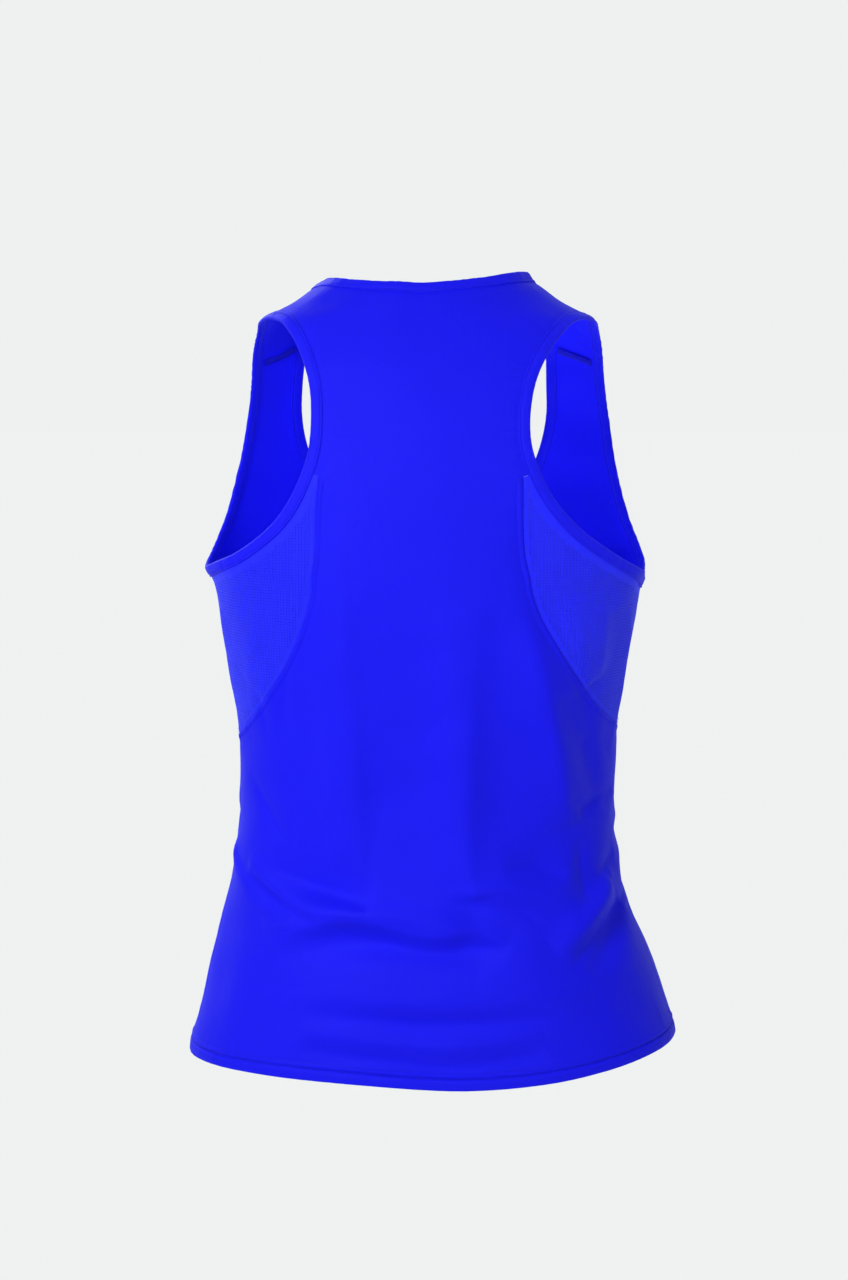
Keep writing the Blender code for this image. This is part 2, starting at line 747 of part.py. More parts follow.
def main():
    for old in list(bpy.data.objects):
        bpy.data.objects.remove(old, do_unlink=True)
    neck, hem = neck_edge(), hem_edge()
    arms = {side: armhole_edge(side) for side in ("left", "right")}
    seams = {side: side_seams(side, neck, arm, hem) for side, arm in arms.items()}
    panel("back_panel", back_sides(seams, neck, arms, hem), BACK_SPACING, BLUE)
    panel("front_panel", front_sides(seams, neck, arms, hem), FRONT_SPACING, BLUE)
    binding("neck_binding", neck, ["right shoulder", "left shoulder"], EDGE_SPACING, DEEP_BLUE)
    for side, arm in arms.items():
        sides = mesh_sides(seams[side], arm, side)
        panel("mesh_panel_" + side, sides, BACK_SPACING, MESH_BLUE)
        binding("armhole_binding_" + side, arm, ["shoulder", "mesh", "side"], EDGE_SPACING,
                DEEP_BLUE)


main()
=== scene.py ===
import math

import bmesh
import bpy
import numpy as np
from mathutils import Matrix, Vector
from mathutils.geometry import delaunay_2d_cdt
from mathutils.kdtree import KDTree


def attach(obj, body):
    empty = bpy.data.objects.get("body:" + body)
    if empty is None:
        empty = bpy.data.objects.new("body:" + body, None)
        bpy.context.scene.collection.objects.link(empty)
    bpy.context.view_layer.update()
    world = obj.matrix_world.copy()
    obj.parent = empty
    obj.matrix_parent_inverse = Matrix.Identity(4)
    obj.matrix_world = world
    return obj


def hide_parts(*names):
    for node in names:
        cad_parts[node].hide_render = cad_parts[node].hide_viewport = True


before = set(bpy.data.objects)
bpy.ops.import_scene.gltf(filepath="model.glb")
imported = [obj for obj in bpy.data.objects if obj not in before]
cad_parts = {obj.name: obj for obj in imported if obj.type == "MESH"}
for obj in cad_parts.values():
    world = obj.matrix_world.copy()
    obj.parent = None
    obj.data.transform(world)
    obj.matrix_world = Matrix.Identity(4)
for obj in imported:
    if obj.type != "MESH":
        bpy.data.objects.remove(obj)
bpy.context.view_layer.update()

# The garment faces -Y and its back is towards +Y; +X is the wearer's left. A place on it is an
# angle round the body in degrees (0 left side, 90 centre back, -90 centre front) and a height.
shape = {
    "roundness": 2.2,  # of the rings, 2 is an ellipse
    "chartRadius": 0.135,
    "profilePoints": 600,
    "curveSteps": 24,  # points worked out between two rows of an outline
    "insetSteps": 6,
    "slopeSteps": (0.2, 0.0003),  # degrees round the body and metres up, to measure slopes
    "mergeDistance": 1e-8,
}

ringNames = ("height", "halfWidth", "back", "front", "shift")
ringRows = (
    (-0.607, 0.1990, 0.1170, 0.1110, -0.0060),
    (-0.588, 0.1965, 0.1160, 0.1100, -0.0060),
    (-0.565, 0.1890, 0.1140, 0.1090, -0.0055),
    (-0.535, 0.1790, 0.1115, 0.1070, -0.0045),
    (-0.500, 0.1680, 0.1070, 0.1040, -0.0022),
    (-0.465, 0.1576, 0.1010, 0.1000, 0.0004),
    (-0.425, 0.1495, 0.0960, 0.0975, 0.0012),
    (-0.385, 0.1465, 0.0940, 0.0960, 0.0008),
    (-0.335, 0.1467, 0.0970, 0.1010, 0.0000),
    (-0.285, 0.1531, 0.1015, 0.1070, 0.0000),
    (-0.240, 0.1612, 0.1055, 0.1110, 0.0000),
    (-0.216, 0.1662, 0.1070, 0.1120, 0.0000),
    (-0.200, 0.1722, 0.1077, 0.1120, 0.0000),
    (-0.162, 0.1712, 0.1080, 0.1110, 0.0000),
    (-0.102, 0.1660, 0.1020, 0.1020, 0.0000),
    (-0.052, 0.1518, 0.0880, 0.0890, 0.0000),
    (-0.033, 0.1420, 0.0790, 0.0820, 0.0000),
    (-0.014, 0.1268, 0.0685, 0.0740, 0.0000),
    (0.000, 0.1024, 0.0605, 0.0670, 0.0000),
    (0.009, 0.0897, 0.0545, 0.0600, 0.0000),
    (0.018, 0.0775, 0.0480, 0.0520, 0.0000),
    (0.038, 0.0700, 0.0360, 0.0400, 0.0000),
)
rings = dict(zip(ringNames, np.array(ringRows).T))

# finished edges: neck and armhole on the left half, hem all round from the left side seam
neckRows = (
    ("centre back", 90, 0.0148),
    ("", 64, 0.0168),
    ("", 43, 0.0192),
    ("", 18, 0.0208),
    ("", 0, 0.0188),
    ("", -20, 0.0118),
    ("", -30, 0.0040),
    ("", -38, -0.0042),
    ("", -46.5, -0.0165),
    ("shoulder", -50, -0.0340),
    ("", -52.9, -0.0660),
    ("", -54.5, -0.0900),
    ("", -57, -0.1150),
    ("", -63, -0.1480),
    ("", -73, -0.1790),
    ("centre front", -90, -0.1930),
)
armholeRows = (
    ("tip", 0, -0.0165),
    ("", 20, -0.0125),
    ("", 36, -0.0175),
    ("", 45, -0.0275),
    ("", 53.5, -0.0480),
    ("", 58.3, -0.0800),
    ("", 58.9, -0.1010),
    ("mesh", 57.4, -0.1235),
    ("", 49.7, -0.1615),
    ("", 36.7, -0.1855),
    ("", 20, -0.1975),
    ("side", 4, -0.2025),
    ("", -9.3, -0.1968),
    ("", -21.4, -0.1760),
    ("", -30.7, -0.1250),
    ("", -31.2, -0.0770),
    ("shoulder", -26.5, -0.0480),
    ("", -16, -0.0258),
)
hemRows = (
    ("left side", 8, -0.5855),
    ("", 28, -0.5850),
    ("", 50, -0.5852),
    ("", 72, -0.5870),
    ("", 97, -0.5910),
    ("", 116, -0.5876),
    ("", 130, -0.5824),
    ("", 150, -0.5752),
    ("right side", 172, -0.5715),
    ("", 200, -0.5725),
    ("", 235, -0.5770),
    ("", 270, -0.5800),
    ("", 305, -0.5815),
    ("", 340, -0.5840),
    ("", 368, -0.5855),
)

# seams on the left half, as places between the edges that they join
seamRows = {
    "shoulder": ((-38, -0.0410),),
    "mesh": (
        (61.3, -0.160),
        (61.2, -0.192),
        (57.1, -0.232),
        (48.0, -0.271),
        (33.0, -0.307),
        (17.0, -0.327),
    ),
    "meeting": (4.6, -0.336),
    "lower side": ((6.5, -0.400), (8.0, -0.480)),
}

# the worn pose turns the right half a little
pose = {
    "reach": 4.6,
    "reachAngle": 60,
    "reachHeights": (-0.360, -0.160),
    "reachEnd": 90,
    "neckTilt": 0.0025,
    "neckTiltHeights": (0.000, 0.014),
    "neckTurn": 1.2,
    "neckTurnHeights": (-0.045, -0.020),
    "liftHeights": (-0.574, -0.327, -0.202, -0.042),
    "lifts": (0.012, 0.008, -0.009, 0.0),
    "liftFalloff": 6,
}


def smoothBetween(value, known, results):
    # a smooth curve through the rows that never overshoots one
    gaps = np.diff(known)
    slopes = np.diff(results) / gaps
    tangents = np.empty(len(known))
    tangents[0] = slopes[0]
    tangents[-1] = slopes[-1]
    before, after = slopes[:-1], slopes[1:]
    sameWay = before * after > 0
    safeSum = np.where(sameWay, before + after, 1.0)
    tangents[1:-1] = np.where(sameWay, 2 * before * after / safeSum, 0.0)
    row = np.clip(np.searchsorted(known, value) - 1, 0, len(gaps) - 1)
    part = (value - known[row]) / gaps[row]
    rest = 1 - part
    return (
        (1 + 2 * part) * rest**2 * results[row]
        + part * rest**2 * gaps[row] * tangents[row]
        + part**2 * (3 - 2 * part) * results[row + 1]
        - part**2 * rest * gaps[row] * tangents[row + 1]
    )


def ringSize(height, name):
    return smoothBetween(height, rings["height"], rings[name])


def form(places):
    # the smooth filled-out form
    angle, height = np.radians(places[:, 0]), places[:, 1]
    cosine, sine = np.cos(angle), np.sin(angle)
    power = shape["roundness"]
    reach = (np.abs(cosine) ** power + np.abs(sine) ** power) ** (-1 / power)
    depth = np.where(sine > 0, ringSize(height, "back"), ringSize(height, "front"))
    across = ringSize(height, "shift") + ringSize(height, "halfWidth") * reach * cosine
    return np.stack([across, depth * reach * sine, height], axis=1)


def slopesOf(surface, places):
    # how points of a surface move with the angle and with the height
    turn, climb = np.diag(shape["slopeSteps"])
    flat = places[:, :2]
    byAngle = (surface(flat + turn) - surface(flat - turn)) / (2 * turn[0])
    byHeight = (surface(flat + climb) - surface(flat - climb)) / (2 * climb[1])
    return byAngle, byHeight


def unit(vectors):
    return vectors / np.linalg.norm(vectors, axis=-1, keepdims=True)


def outward(surface, places):
    return unit(np.cross(*slopesOf(surface, places)))


def travelled(steps):
    return np.concatenate([[0], np.cumsum(steps)])


# the chart unrolls the form: turn times a mean radius, and length along the mean profile
profileHeights = np.linspace(rings["height"][0], rings["height"][-1], shape["profilePoints"])
profileRadius = sum(ringSize(profileHeights, name) for name in ("halfWidth", "back", "front")) / 3
profileLengths = travelled(np.hypot(np.diff(profileHeights), np.diff(profileRadius)))
turnLength = 2 * math.pi * shape["chartRadius"]


def rise(height):
    return np.interp(height, profileHeights, profileLengths)


def heightAt(length):
    return np.interp(length, profileLengths, profileHeights)


def toChart(places):
    places = np.asarray(places, float)
    return np.stack([np.radians(places[:, 0]) * shape["chartRadius"], rise(places[:, 1])], axis=1)


def fromChart(spots):
    return np.stack([np.degrees(spots[:, 0] / shape["chartRadius"]), heightAt(spots[:, 1])], axis=1)


def nearestOn(path, spots, group=3000):
    # distance from a path, the part of the path reached, and the signed distance to its left,
    # for a group of spots at a time
    start, step = path[:-1], np.diff(path, axis=0)
    found = []
    for first in range(0, len(spots), group):
        offset = spots[first:first + group, None] - start[None]
        part = np.clip((offset * step).sum(2) / (step**2).sum(1), 0, 1)
        away = offset - part[..., None] * step
        gaps = np.hypot(away[..., 0], away[..., 1])
        best = gaps.argmin(1)
        rows = np.arange(len(best))
        near = away[rows, best]
        left = np.sign(step[best, 0] * near[:, 1] - step[best, 1] * near[:, 0])
        distance = gaps[rows, best]
        found.append(np.stack([distance, (best + part[rows, best]) / len(step), left * distance]))
    return np.concatenate(found, axis=1)


def curveBetween(spots):
    # a smooth curve from the second spot to the last but one
    lengths = np.linalg.norm(np.diff(spots, axis=0), axis=1)
    speed = np.diff(spots, axis=0) / lengths[:, None]
    before, after = lengths[:-1, None], lengths[1:, None]
    tangents = (speed[:-1] * after + speed[1:] * before) / (before + after)
    part = np.arange(shape["curveSteps"]) / shape["curveSteps"]
    rest = 1 - part
    pieces = []
    for row in range(len(spots) - 3):
        gap = lengths[row + 1]
        pieces.append(
            np.outer((1 + 2 * part) * rest**2, spots[row + 1])
            + np.outer(part * rest**2 * gap, tangents[row])
            + np.outer(part**2 * (3 - 2 * part), spots[row + 2])
            - np.outer(part**2 * rest * gap, tangents[row + 1])
        )
    return np.concatenate(pieces + [spots[-2:-1]])


def curve(places):
    spots = toChart(places)
    ends = np.stack([2 * spots[0] - spots[1], 2 * spots[-1] - spots[-2]])
    return fromChart(curveBetween(np.concatenate([ends[:1], spots, ends[1:]])))


def closedCurve(rows):
    # the last row is the first one again, a turn on or not
    spots = toChart(rows)
    period = spots[-1] - spots[0]
    around = np.concatenate([spots[-2:-1] - period, spots, spots[1:2] + period])
    return fromChart(curveBetween(around))


def shifted(places, moves):
    # places reached by small moves in space along the form, which need not be at right angles
    byAngle, byHeight = slopesOf(form, places)
    turnTurn, climbClimb = (byAngle**2).sum(1), (byHeight**2).sum(1)
    both = (byAngle * byHeight).sum(1)
    onTurn, onClimb = (byAngle * moves).sum(1), (byHeight * moves).sum(1)
    size = turnTurn * climbClimb - both**2
    turn = (onTurn * climbClimb - onClimb * both) / size
    climb = (onClimb * turnTurn - onTurn * both) / size
    return places[:, :2] + np.stack([turn, climb], 1)


def inset(loop, distance, side):
    # moves a closed loop over the form, to its left for side 1, right for -1
    period = np.array([loop[-1, 0] - loop[0, 0], 0.0])
    for _ in range(shape["insetSteps"]):
        ring = np.concatenate([loop[-2:-1] - period, loop, loop[1:2] + period])
        points = form(ring)
        forward = unit(points[2:] - points[:-2])
        left = np.cross(outward(form, loop), forward)
        loop = shifted(loop, left * side * distance / shape["insetSteps"])
    return loop


# Creases. A ridge is (rise, half width, start, middle, end), below zero a trough.
ridgeRows = (
    (0.0035, 0.014, (63, -0.175), (63, -0.342), (68, -0.448)),
    (-0.0012, 0.014, (72, -0.190), (75, -0.357), (79, -0.459)),
    (0.0030, 0.013, (97, -0.227), (99, -0.341), (99, -0.436)),
    (-0.0012, 0.014, (108, -0.227), (111, -0.341), (110, -0.437)),
    (0.0035, 0.013, (114, -0.220), (126, -0.313), (136, -0.376)),
    (-0.0036, 0.014, (125, -0.228), (140, -0.322), (151, -0.384)),
    (0.0045, 0.010, (40, -0.474), (72, -0.457), (100, -0.470)),
    (-0.0045, 0.011, (48, -0.496), (77, -0.481), (108, -0.492)),
    (0.0045, 0.011, (124, -0.486), (140, -0.464), (156, -0.446)),
    (-0.0055, 0.011, (133, -0.506), (148, -0.484), (163, -0.462)),
    (-0.0030, 0.012, (62, -0.534), (90, -0.538), (117, -0.532)),
    (0.0035, 0.014, (-62, -0.210), (-66, -0.350), (-60, -0.500)),
    (-0.0035, 0.014, (-78, -0.260), (-80, -0.380), (-76, -0.520)),
    (0.0035, 0.014, (-112, -0.215), (-108, -0.360), (-114, -0.510)),
    (0.0035, 0.012, (-36, -0.455), (-70, -0.478), (-104, -0.464)),
    # softer ones
    (-0.0010, 0.007, (128, -0.323), (142, -0.386), (161, -0.383)),
    (-0.0012, 0.009, (147, -0.435), (143, -0.446), (139, -0.458)),
    (-0.0009, 0.011, (119, -0.422), (124, -0.428), (130, -0.434)),
    (-0.0012, 0.016, (84, -0.250), (85, -0.330), (86, -0.420)),
    (0.0009, 0.015, (30, -0.500), (34, -0.530), (36, -0.565)),
    (-0.0010, 0.014, (140, -0.530), (150, -0.545), (160, -0.550)),
    (-0.0024, 0.013, (-55, -0.520), (-90, -0.530), (-120, -0.518)),
    (0.0022, 0.012, (-128, -0.205), (-134, -0.300), (-142, -0.372)),
    (-0.0026, 0.012, (-136, -0.215), (-144, -0.306), (-153, -0.380)),
    (0.0020, 0.012, (-30, -0.232), (-34, -0.318), (-24, -0.386)),
    (-0.0022, 0.011, (-22, -0.240), (-24, -0.320), (-14, -0.384)),
    (-0.0016, 0.012, (-92, -0.215), (-94, -0.260), (-92, -0.330)),
)

# A fold is (rise, roundness, reach left, reach right, peak, places): a crest along its path, or a
# crease below zero, that falls away over its two reaches. Its peak is a share of its length.
foldRows = (
    # long drapes down the back
    (0.0066, 0.0034, 0.022, 0.023, 0.60, (66.2, -0.160), (68.3, -0.197), (68.3, -0.235),
     (68.0, -0.273), (68.2, -0.311), (69.0, -0.353), (69.6, -0.395), (71.3, -0.426),
     (74.0, -0.452)),
    (0.0014, 0.0100, 0.016, 0.016, 0.50, (95.1, -0.189), (95.9, -0.264), (95.8, -0.341),
     (93.9, -0.432)),
    (0.0056, 0.0032, 0.025, 0.018, 0.70, (103.8, -0.189), (103.9, -0.249), (102.6, -0.310),
     (102.0, -0.372), (102.1, -0.410), (102.6, -0.440), (103.4, -0.448)),
    (0.0070, 0.0036, 0.024, 0.022, 0.60, (114.4, -0.175), (116.4, -0.220), (121.2, -0.274),
     (126.7, -0.317), (131.6, -0.360), (136.1, -0.396)),
    (0.0036, 0.0040, 0.009, 0.010, 0.50, (122.5, -0.236), (131.0, -0.283), (142.2, -0.331)),
    (-0.0020, 0.0028, 0.008, 0.006, 0.50, (48.7, -0.273), (45.6, -0.299), (41.7, -0.327)),
    (-0.0016, 0.0026, 0.006, 0.005, 0.50, (34.0, -0.293), (34.5, -0.309), (36.3, -0.328)),
    # right side of the waist
    (-0.0028, 0.0022, 0.006, 0.005, 0.50, (139.3, -0.387), (144.9, -0.384), (152.6, -0.379),
     (166.5, -0.377)),
    (0.0014, 0.0022, 0.006, 0.005, 0.50, (137.0, -0.391), (146.0, -0.393), (166.8, -0.397)),
    (-0.0012, 0.0018, 0.005, 0.005, 0.50, (137.4, -0.396), (146.0, -0.398), (166.0, -0.403)),
    (-0.0036, 0.0032, 0.010, 0.008, 0.60, (139.4, -0.407), (140.8, -0.428), (140.6, -0.456)),
    (-0.0030, 0.0030, 0.008, 0.008, 0.50, (165.5, -0.424), (154.1, -0.434), (143.7, -0.452)),
    (0.0038, 0.0030, 0.007, 0.011, 0.50, (124.1, -0.492), (133.1, -0.479), (144.4, -0.460),
     (160.6, -0.436)),
    (-0.0042, 0.0016, 0.008, 0.0055, 0.50, (127.6, -0.505), (135.3, -0.489), (144.8, -0.476),
     (158.9, -0.465), (170.0, -0.458)),
    # the deep crease under the waist
    (0.0060, 0.0022, 0.019, 0.0080, 0.55, (44.0, -0.492), (53.8, -0.474), (59.8, -0.468),
     (67.1, -0.464), (74.2, -0.465), (79.7, -0.468), (85.1, -0.473), (90.5, -0.475),
     (95.9, -0.474), (101.4, -0.471), (106.1, -0.475), (110.4, -0.481)),
    (-0.0044, 0.0024, 0.0080, 0.014, 0.60, (54.2, -0.484), (60.8, -0.478), (67.3, -0.475),
     (74.8, -0.478), (80.2, -0.482), (85.4, -0.486), (90.6, -0.488), (95.9, -0.487),
     (101.4, -0.483), (106.1, -0.484), (110.8, -0.490)),
    (-0.0086, 0.0024, 0.024, 0.010, 0.56, (37.4, -0.431), (48.1, -0.435), (55.5, -0.440),
     (63.6, -0.445), (70.5, -0.450), (74.6, -0.452)),
    (0.0044, 0.0028, 0.008, 0.007, 0.70, (36.1, -0.440), (48.9, -0.448), (59.3, -0.455),
     (66.9, -0.457), (73.5, -0.458)),
    # left side of the waist
    (0.0054, 0.0024, 0.008, 0.011, 0.45, (6.0, -0.420), (18.9, -0.435), (32.7, -0.449),
     (42.1, -0.463), (50.4, -0.474)),
    (-0.0044, 0.0022, 0.007, 0.006, 0.50, (12.8, -0.424), (29.0, -0.441), (39.7, -0.456),
     (48.0, -0.469)),
    (0.0036, 0.0024, 0.006, 0.008, 0.50, (27.2, -0.426), (38.3, -0.441), (49.2, -0.453),
     (58.9, -0.460)),
    (-0.0042, 0.0022, 0.008, 0.006, 0.50, (29.6, -0.435), (41.0, -0.451), (51.8, -0.462),
     (60.4, -0.466)),
    (-0.0034, 0.0018, 0.009, 0.006, 0.70, (23.6, -0.357), (32.7, -0.378), (38.5, -0.395),
     (43.2, -0.408)),
    (-0.0008, 0.0018, 0.005, 0.005, 0.50, (41.9, -0.409), (46.7, -0.399), (51.1, -0.390)),
    # between the right drape and the deep crease
    (0.0056, 0.0030, 0.009, 0.024, 0.45, (101.5, -0.448), (108.7, -0.444), (117.2, -0.442),
     (126.8, -0.446), (136.3, -0.457)),
    (-0.0044, 0.0044, 0.016, 0.008, 0.50, (112.9, -0.427), (120.8, -0.424), (126.8, -0.427),
     (133.0, -0.436)),
    (-0.0028, 0.0020, 0.006, 0.006, 0.40, (102.0, -0.452), (106.2, -0.453), (113.3, -0.455),
     (118.9, -0.461), (120.7, -0.471)),
    (-0.0018, 0.0030, 0.008, 0.008, 0.50, (96.2, -0.461), (103.1, -0.463), (110.2, -0.471),
     (115.7, -0.481)),
    # waves above the hem
    (0.0056, 0.0060, 0.018, 0.014, 0.50, (52.0, -0.524), (69.3, -0.523), (81.8, -0.526),
     (91.6, -0.528), (101.4, -0.527), (114.1, -0.523), (132.0, -0.522)),
    (-0.0056, 0.0060, 0.014, 0.012, 0.50, (58.0, -0.535), (77.0, -0.540), (91.3, -0.543),
     (103.2, -0.542), (122.0, -0.535)),
    (0.0048, 0.0048, 0.011, 0.010, 0.50, (56.0, -0.547), (74.8, -0.552), (88.8, -0.556),
     (100.5, -0.555), (116.0, -0.549)),
    (-0.0060, 0.0048, 0.012, 0.009, 0.50, (58.0, -0.561), (77.4, -0.569), (91.0, -0.573),
     (102.3, -0.570), (116.0, -0.564)),
    # mesh panels and shoulders
    (-0.0050, 0.0030, 0.014, 0.010, 0.55, (114.1, -0.149), (114.4, -0.190), (118.7, -0.228),
     (126.2, -0.259), (137.8, -0.290)),
    (0.0064, 0.0036, 0.018, 0.022, 0.60, (128.9, -0.220), (130.6, -0.237), (134.0, -0.260),
     (140.4, -0.288)),
    (0.0028, 0.0036, 0.010, 0.011, 0.50, (141.9, -0.227), (143.3, -0.254), (144.6, -0.285)),
    (0.0014, 0.0050, 0.012, 0.012, 0.50, (42.0, -0.214), (38.0, -0.245), (28.0, -0.288)),
    (0.0010, 0.0028, 0.006, 0.008, 0.50, (36.0, -0.004), (49.8, -0.014), (56.9, -0.036)),
    (-0.0007, 0.0030, 0.006, 0.006, 0.50, (77.0, -0.138), (78.1, -0.160), (79.6, -0.178)),
    (0.0010, 0.0040, 0.009, 0.009, 0.50, (140.0, -0.010), (128.0, -0.022), (121.0, -0.042)),
    # sides
    (0.0020, 0.0022, 0.007, 0.008, 0.50, (-30.0, -0.398), (-16.0, -0.408), (-2.0, -0.416)),
    (-0.0018, 0.0022, 0.006, 0.007, 0.50, (-26.0, -0.408), (-12.0, -0.419), (4.0, -0.430)),
    (0.0015, 0.0024, 0.007, 0.007, 0.50, (-24.0, -0.372), (-8.0, -0.380), (8.0, -0.392)),
    (-0.0014, 0.0024, 0.006, 0.006, 0.50, (-20.0, -0.382), (-4.0, -0.390), (10.0, -0.402)),
    (0.0019, 0.0024, 0.007, 0.007, 0.50, (172.0, -0.392), (186.0, -0.402), (204.0, -0.398)),
    (-0.0019, 0.0022, 0.006, 0.007, 0.50, (168.0, -0.404), (184.0, -0.413), (202.0, -0.410)),
    (0.0015, 0.0026, 0.007, 0.007, 0.50, (166.0, -0.440), (182.0, -0.426), (198.0, -0.424)),
    (-0.0020, 0.0024, 0.007, 0.008, 0.50, (168.0, -0.459), (184.0, -0.446), (200.0, -0.438)),
    (0.0024, 0.0050, 0.013, 0.013, 0.50, (14.0, -0.236), (8.0, -0.290), (12.0, -0.350)),
    (0.0026, 0.0045, 0.012, 0.013, 0.50, (158.0, -0.230), (166.0, -0.288), (160.0, -0.346)),
    (0.0018, 0.0060, 0.014, 0.014, 0.50, (-2.0, -0.455), (4.0, -0.500), (0.0, -0.560)),
    (0.0018, 0.0060, 0.014, 0.014, 0.50, (188.0, -0.480), (183.0, -0.520), (187.0, -0.556)),
    # front
    (0.0042, 0.0036, 0.021, 0.014, 0.60, (-66.5, -0.205), (-69.0, -0.280), (-70.5, -0.350),
     (-69.0, -0.415), (-65.5, -0.455)),
    (0.0038, 0.0036, 0.014, 0.020, 0.60, (-108.0, -0.200), (-106.0, -0.270), (-106.5, -0.345),
     (-108.0, -0.410), (-106.0, -0.446)),
    (0.0046, 0.0040, 0.020, 0.013, 0.60, (-120.0, -0.205), (-129.0, -0.285), (-138.0, -0.350),
     (-144.0, -0.386)),
    (0.0040, 0.0040, 0.014, 0.020, 0.55, (-40.0, -0.215), (-34.0, -0.290), (-29.0, -0.350),
     (-24.0, -0.390)),
    (0.0014, 0.0090, 0.016, 0.016, 0.50, (-88.0, -0.225), (-87.0, -0.310), (-90.0, -0.410)),
    (0.0036, 0.0024, 0.017, 0.0070, 0.50, (-134.0, -0.474), (-122.0, -0.466), (-110.0, -0.464),
     (-99.0, -0.470), (-88.0, -0.474), (-76.0, -0.470), (-66.0, -0.474)),
    (-0.0020, 0.0028, 0.0070, 0.014, 0.50, (-126.0, -0.477), (-112.0, -0.476), (-100.0, -0.482),
     (-88.0, -0.487), (-74.0, -0.483), (-62.0, -0.487)),
    (-0.0030, 0.0024, 0.010, 0.010, 0.50, (-52.0, -0.500), (-41.0, -0.484), (-30.0, -0.466),
     (-16.0, -0.457)),
    (0.0024, 0.0030, 0.010, 0.008, 0.50, (-60.0, -0.482), (-47.0, -0.470), (-35.0, -0.455)),
    (-0.0022, 0.0022, 0.008, 0.012, 0.50, (-146.0, -0.428), (-132.0, -0.440), (-118.0, -0.449)),
    (0.0016, 0.0026, 0.008, 0.006, 0.50, (-150.0, -0.438), (-136.0, -0.452), (-122.0, -0.459)),
    (-0.0014, 0.0020, 0.006, 0.006, 0.50, (-60.0, -0.432), (-50.0, -0.440), (-38.0, -0.436)),
    (0.0026, 0.0060, 0.015, 0.011, 0.50, (-128.0, -0.520), (-106.0, -0.524), (-84.0, -0.528),
     (-60.0, -0.522)),
    (-0.0026, 0.0060, 0.011, 0.010, 0.50, (-120.0, -0.535), (-98.0, -0.541), (-78.0, -0.542),
     (-62.0, -0.535)),
    (-0.0012, 0.0060, 0.012, 0.012, 0.50, (-118.0, -0.556), (-96.0, -0.562), (-74.0, -0.560)),
    (0.0016, 0.0050, 0.011, 0.011, 0.50, (-66.0, -0.138), (-60.0, -0.165), (-50.0, -0.190)),
    (0.0016, 0.0050, 0.011, 0.011, 0.50, (-115.0, -0.138), (-121.0, -0.165), (-131.0, -0.190)),
    (0.0012, 0.0050, 0.010, 0.010, 0.50, (-45.0, -0.060), (-46.0, -0.090), (-49.0, -0.125)),
    (0.0012, 0.0050, 0.010, 0.010, 0.50, (-136.0, -0.058), (-134.0, -0.092), (-131.0, -0.122)),
)
relief = {
    "step": 0.0015,
    "heights": (-0.600, 0.030),
    "margin": 0.012,  # past those heights
    "fade": 0.6,  # lower makes a crease's ends shorter
    "taper": 0.4,  # share of a fold's reaches that is left at its ends
    "span": {"ridge": 3, "fold": 4, "pucker": 3},  # worked out this far, in its own reaches
    "pathPoints": 17,
    "curveStep": 4,  # every fourth point of a smooth curve will do
    "edgeStep": 3,
    "swell": (0.00030, 14, (0.040, 0.090)),  # size, waves, wavelengths
    "crumple": (0.00003, 16, (0.012, 0.024)),
    "seed": 11,
}
reliefGrid = {}  # filled by buildRelief


def creasePath(places):
    # two places make a straight crease, three an arc, and more a smooth curve
    if len(places) > 3:
        return toChart(curve(places))[::relief["curveStep"]]
    if len(places) == 2:
        places = (places[0], np.mean(places, axis=0), places[1])
    start, middle, end = toChart(places)
    along = np.linspace(0, 1, relief["pathPoints"])[:, None]
    bend = 2 * middle - (start + end) / 2
    return (1 - along) ** 2 * start + 2 * along * (1 - along) * bend + along**2 * end


def nearTurn(spots, path):
    # the same spots, each on the turn round the body that is nearest to a path
    near = spots.copy()
    middle = (path[:, 0].min() + path[:, 0].max()) / 2
    near[:, 0] -= turnLength * np.round((near[:, 0] - middle) / turnLength)
    return near


def closeTo(spots, path, reach):
    near = nearTurn(spots, path)
    inside = (near > path.min(0) - reach) & (near < path.max(0) + reach)
    chosen = np.flatnonzero(inside.all(1))
    return chosen, nearestOn(path, near[chosen])


def addRidge(total, spots, row):
    size, halfWidth, *places = row
    path = creasePath(places)
    chosen, (distance, part, _) = closeTo(spots, path, relief["span"]["ridge"] * halfWidth)
    fade = np.sin(math.pi * np.clip(part, 0, 1)) ** relief["fade"]
    total[chosen] += size * fade * np.exp(-((distance / halfWidth) ** 2))


def addFold(total, spots, row):
    size, roundness, leftReach, rightReach, peak, *places = row
    path = creasePath(places)
    span = relief["span"]["fold"] * max(leftReach, rightReach)
    chosen, (distance, part, left) = closeTo(spots, path, span)
    part = np.clip(part, 0, 1) ** (math.log(0.5) / math.log(peak))
    fade = np.sin(math.pi * part) ** relief["fade"]
    soft = np.sqrt(distance**2 + roundness**2) - roundness
    # the two reaches blend where the path passes from one side to the other
    side = left / np.sqrt(distance**2 + roundness**2)
    reach = leftReach * (1 + side) / 2 + rightReach * (1 - side) / 2
    reach = reach * (relief["taper"] + (1 - relief["taper"]) * fade)
    total[chosen] += size * fade * np.exp(-soft / reach)


def addWaves(total, spots, size, count, wavelengths, random):
    # slow swells in all directions that meet themselves round the body
    for _ in range(count):
        length = random.uniform(*wavelengths)
        turn = random.uniform(-0.5, 0.5) * math.pi
        across = round(turnLength * math.cos(turn) / length) / turnLength
        upward = math.sin(turn) / length
        phase = random.uniform(0, 2 * math.pi)
        wave = 2 * math.pi * (across * spots[:, 0] + upward * spots[:, 1]) + phase
        total += size / math.sqrt(count / 2) * np.sin(wave)


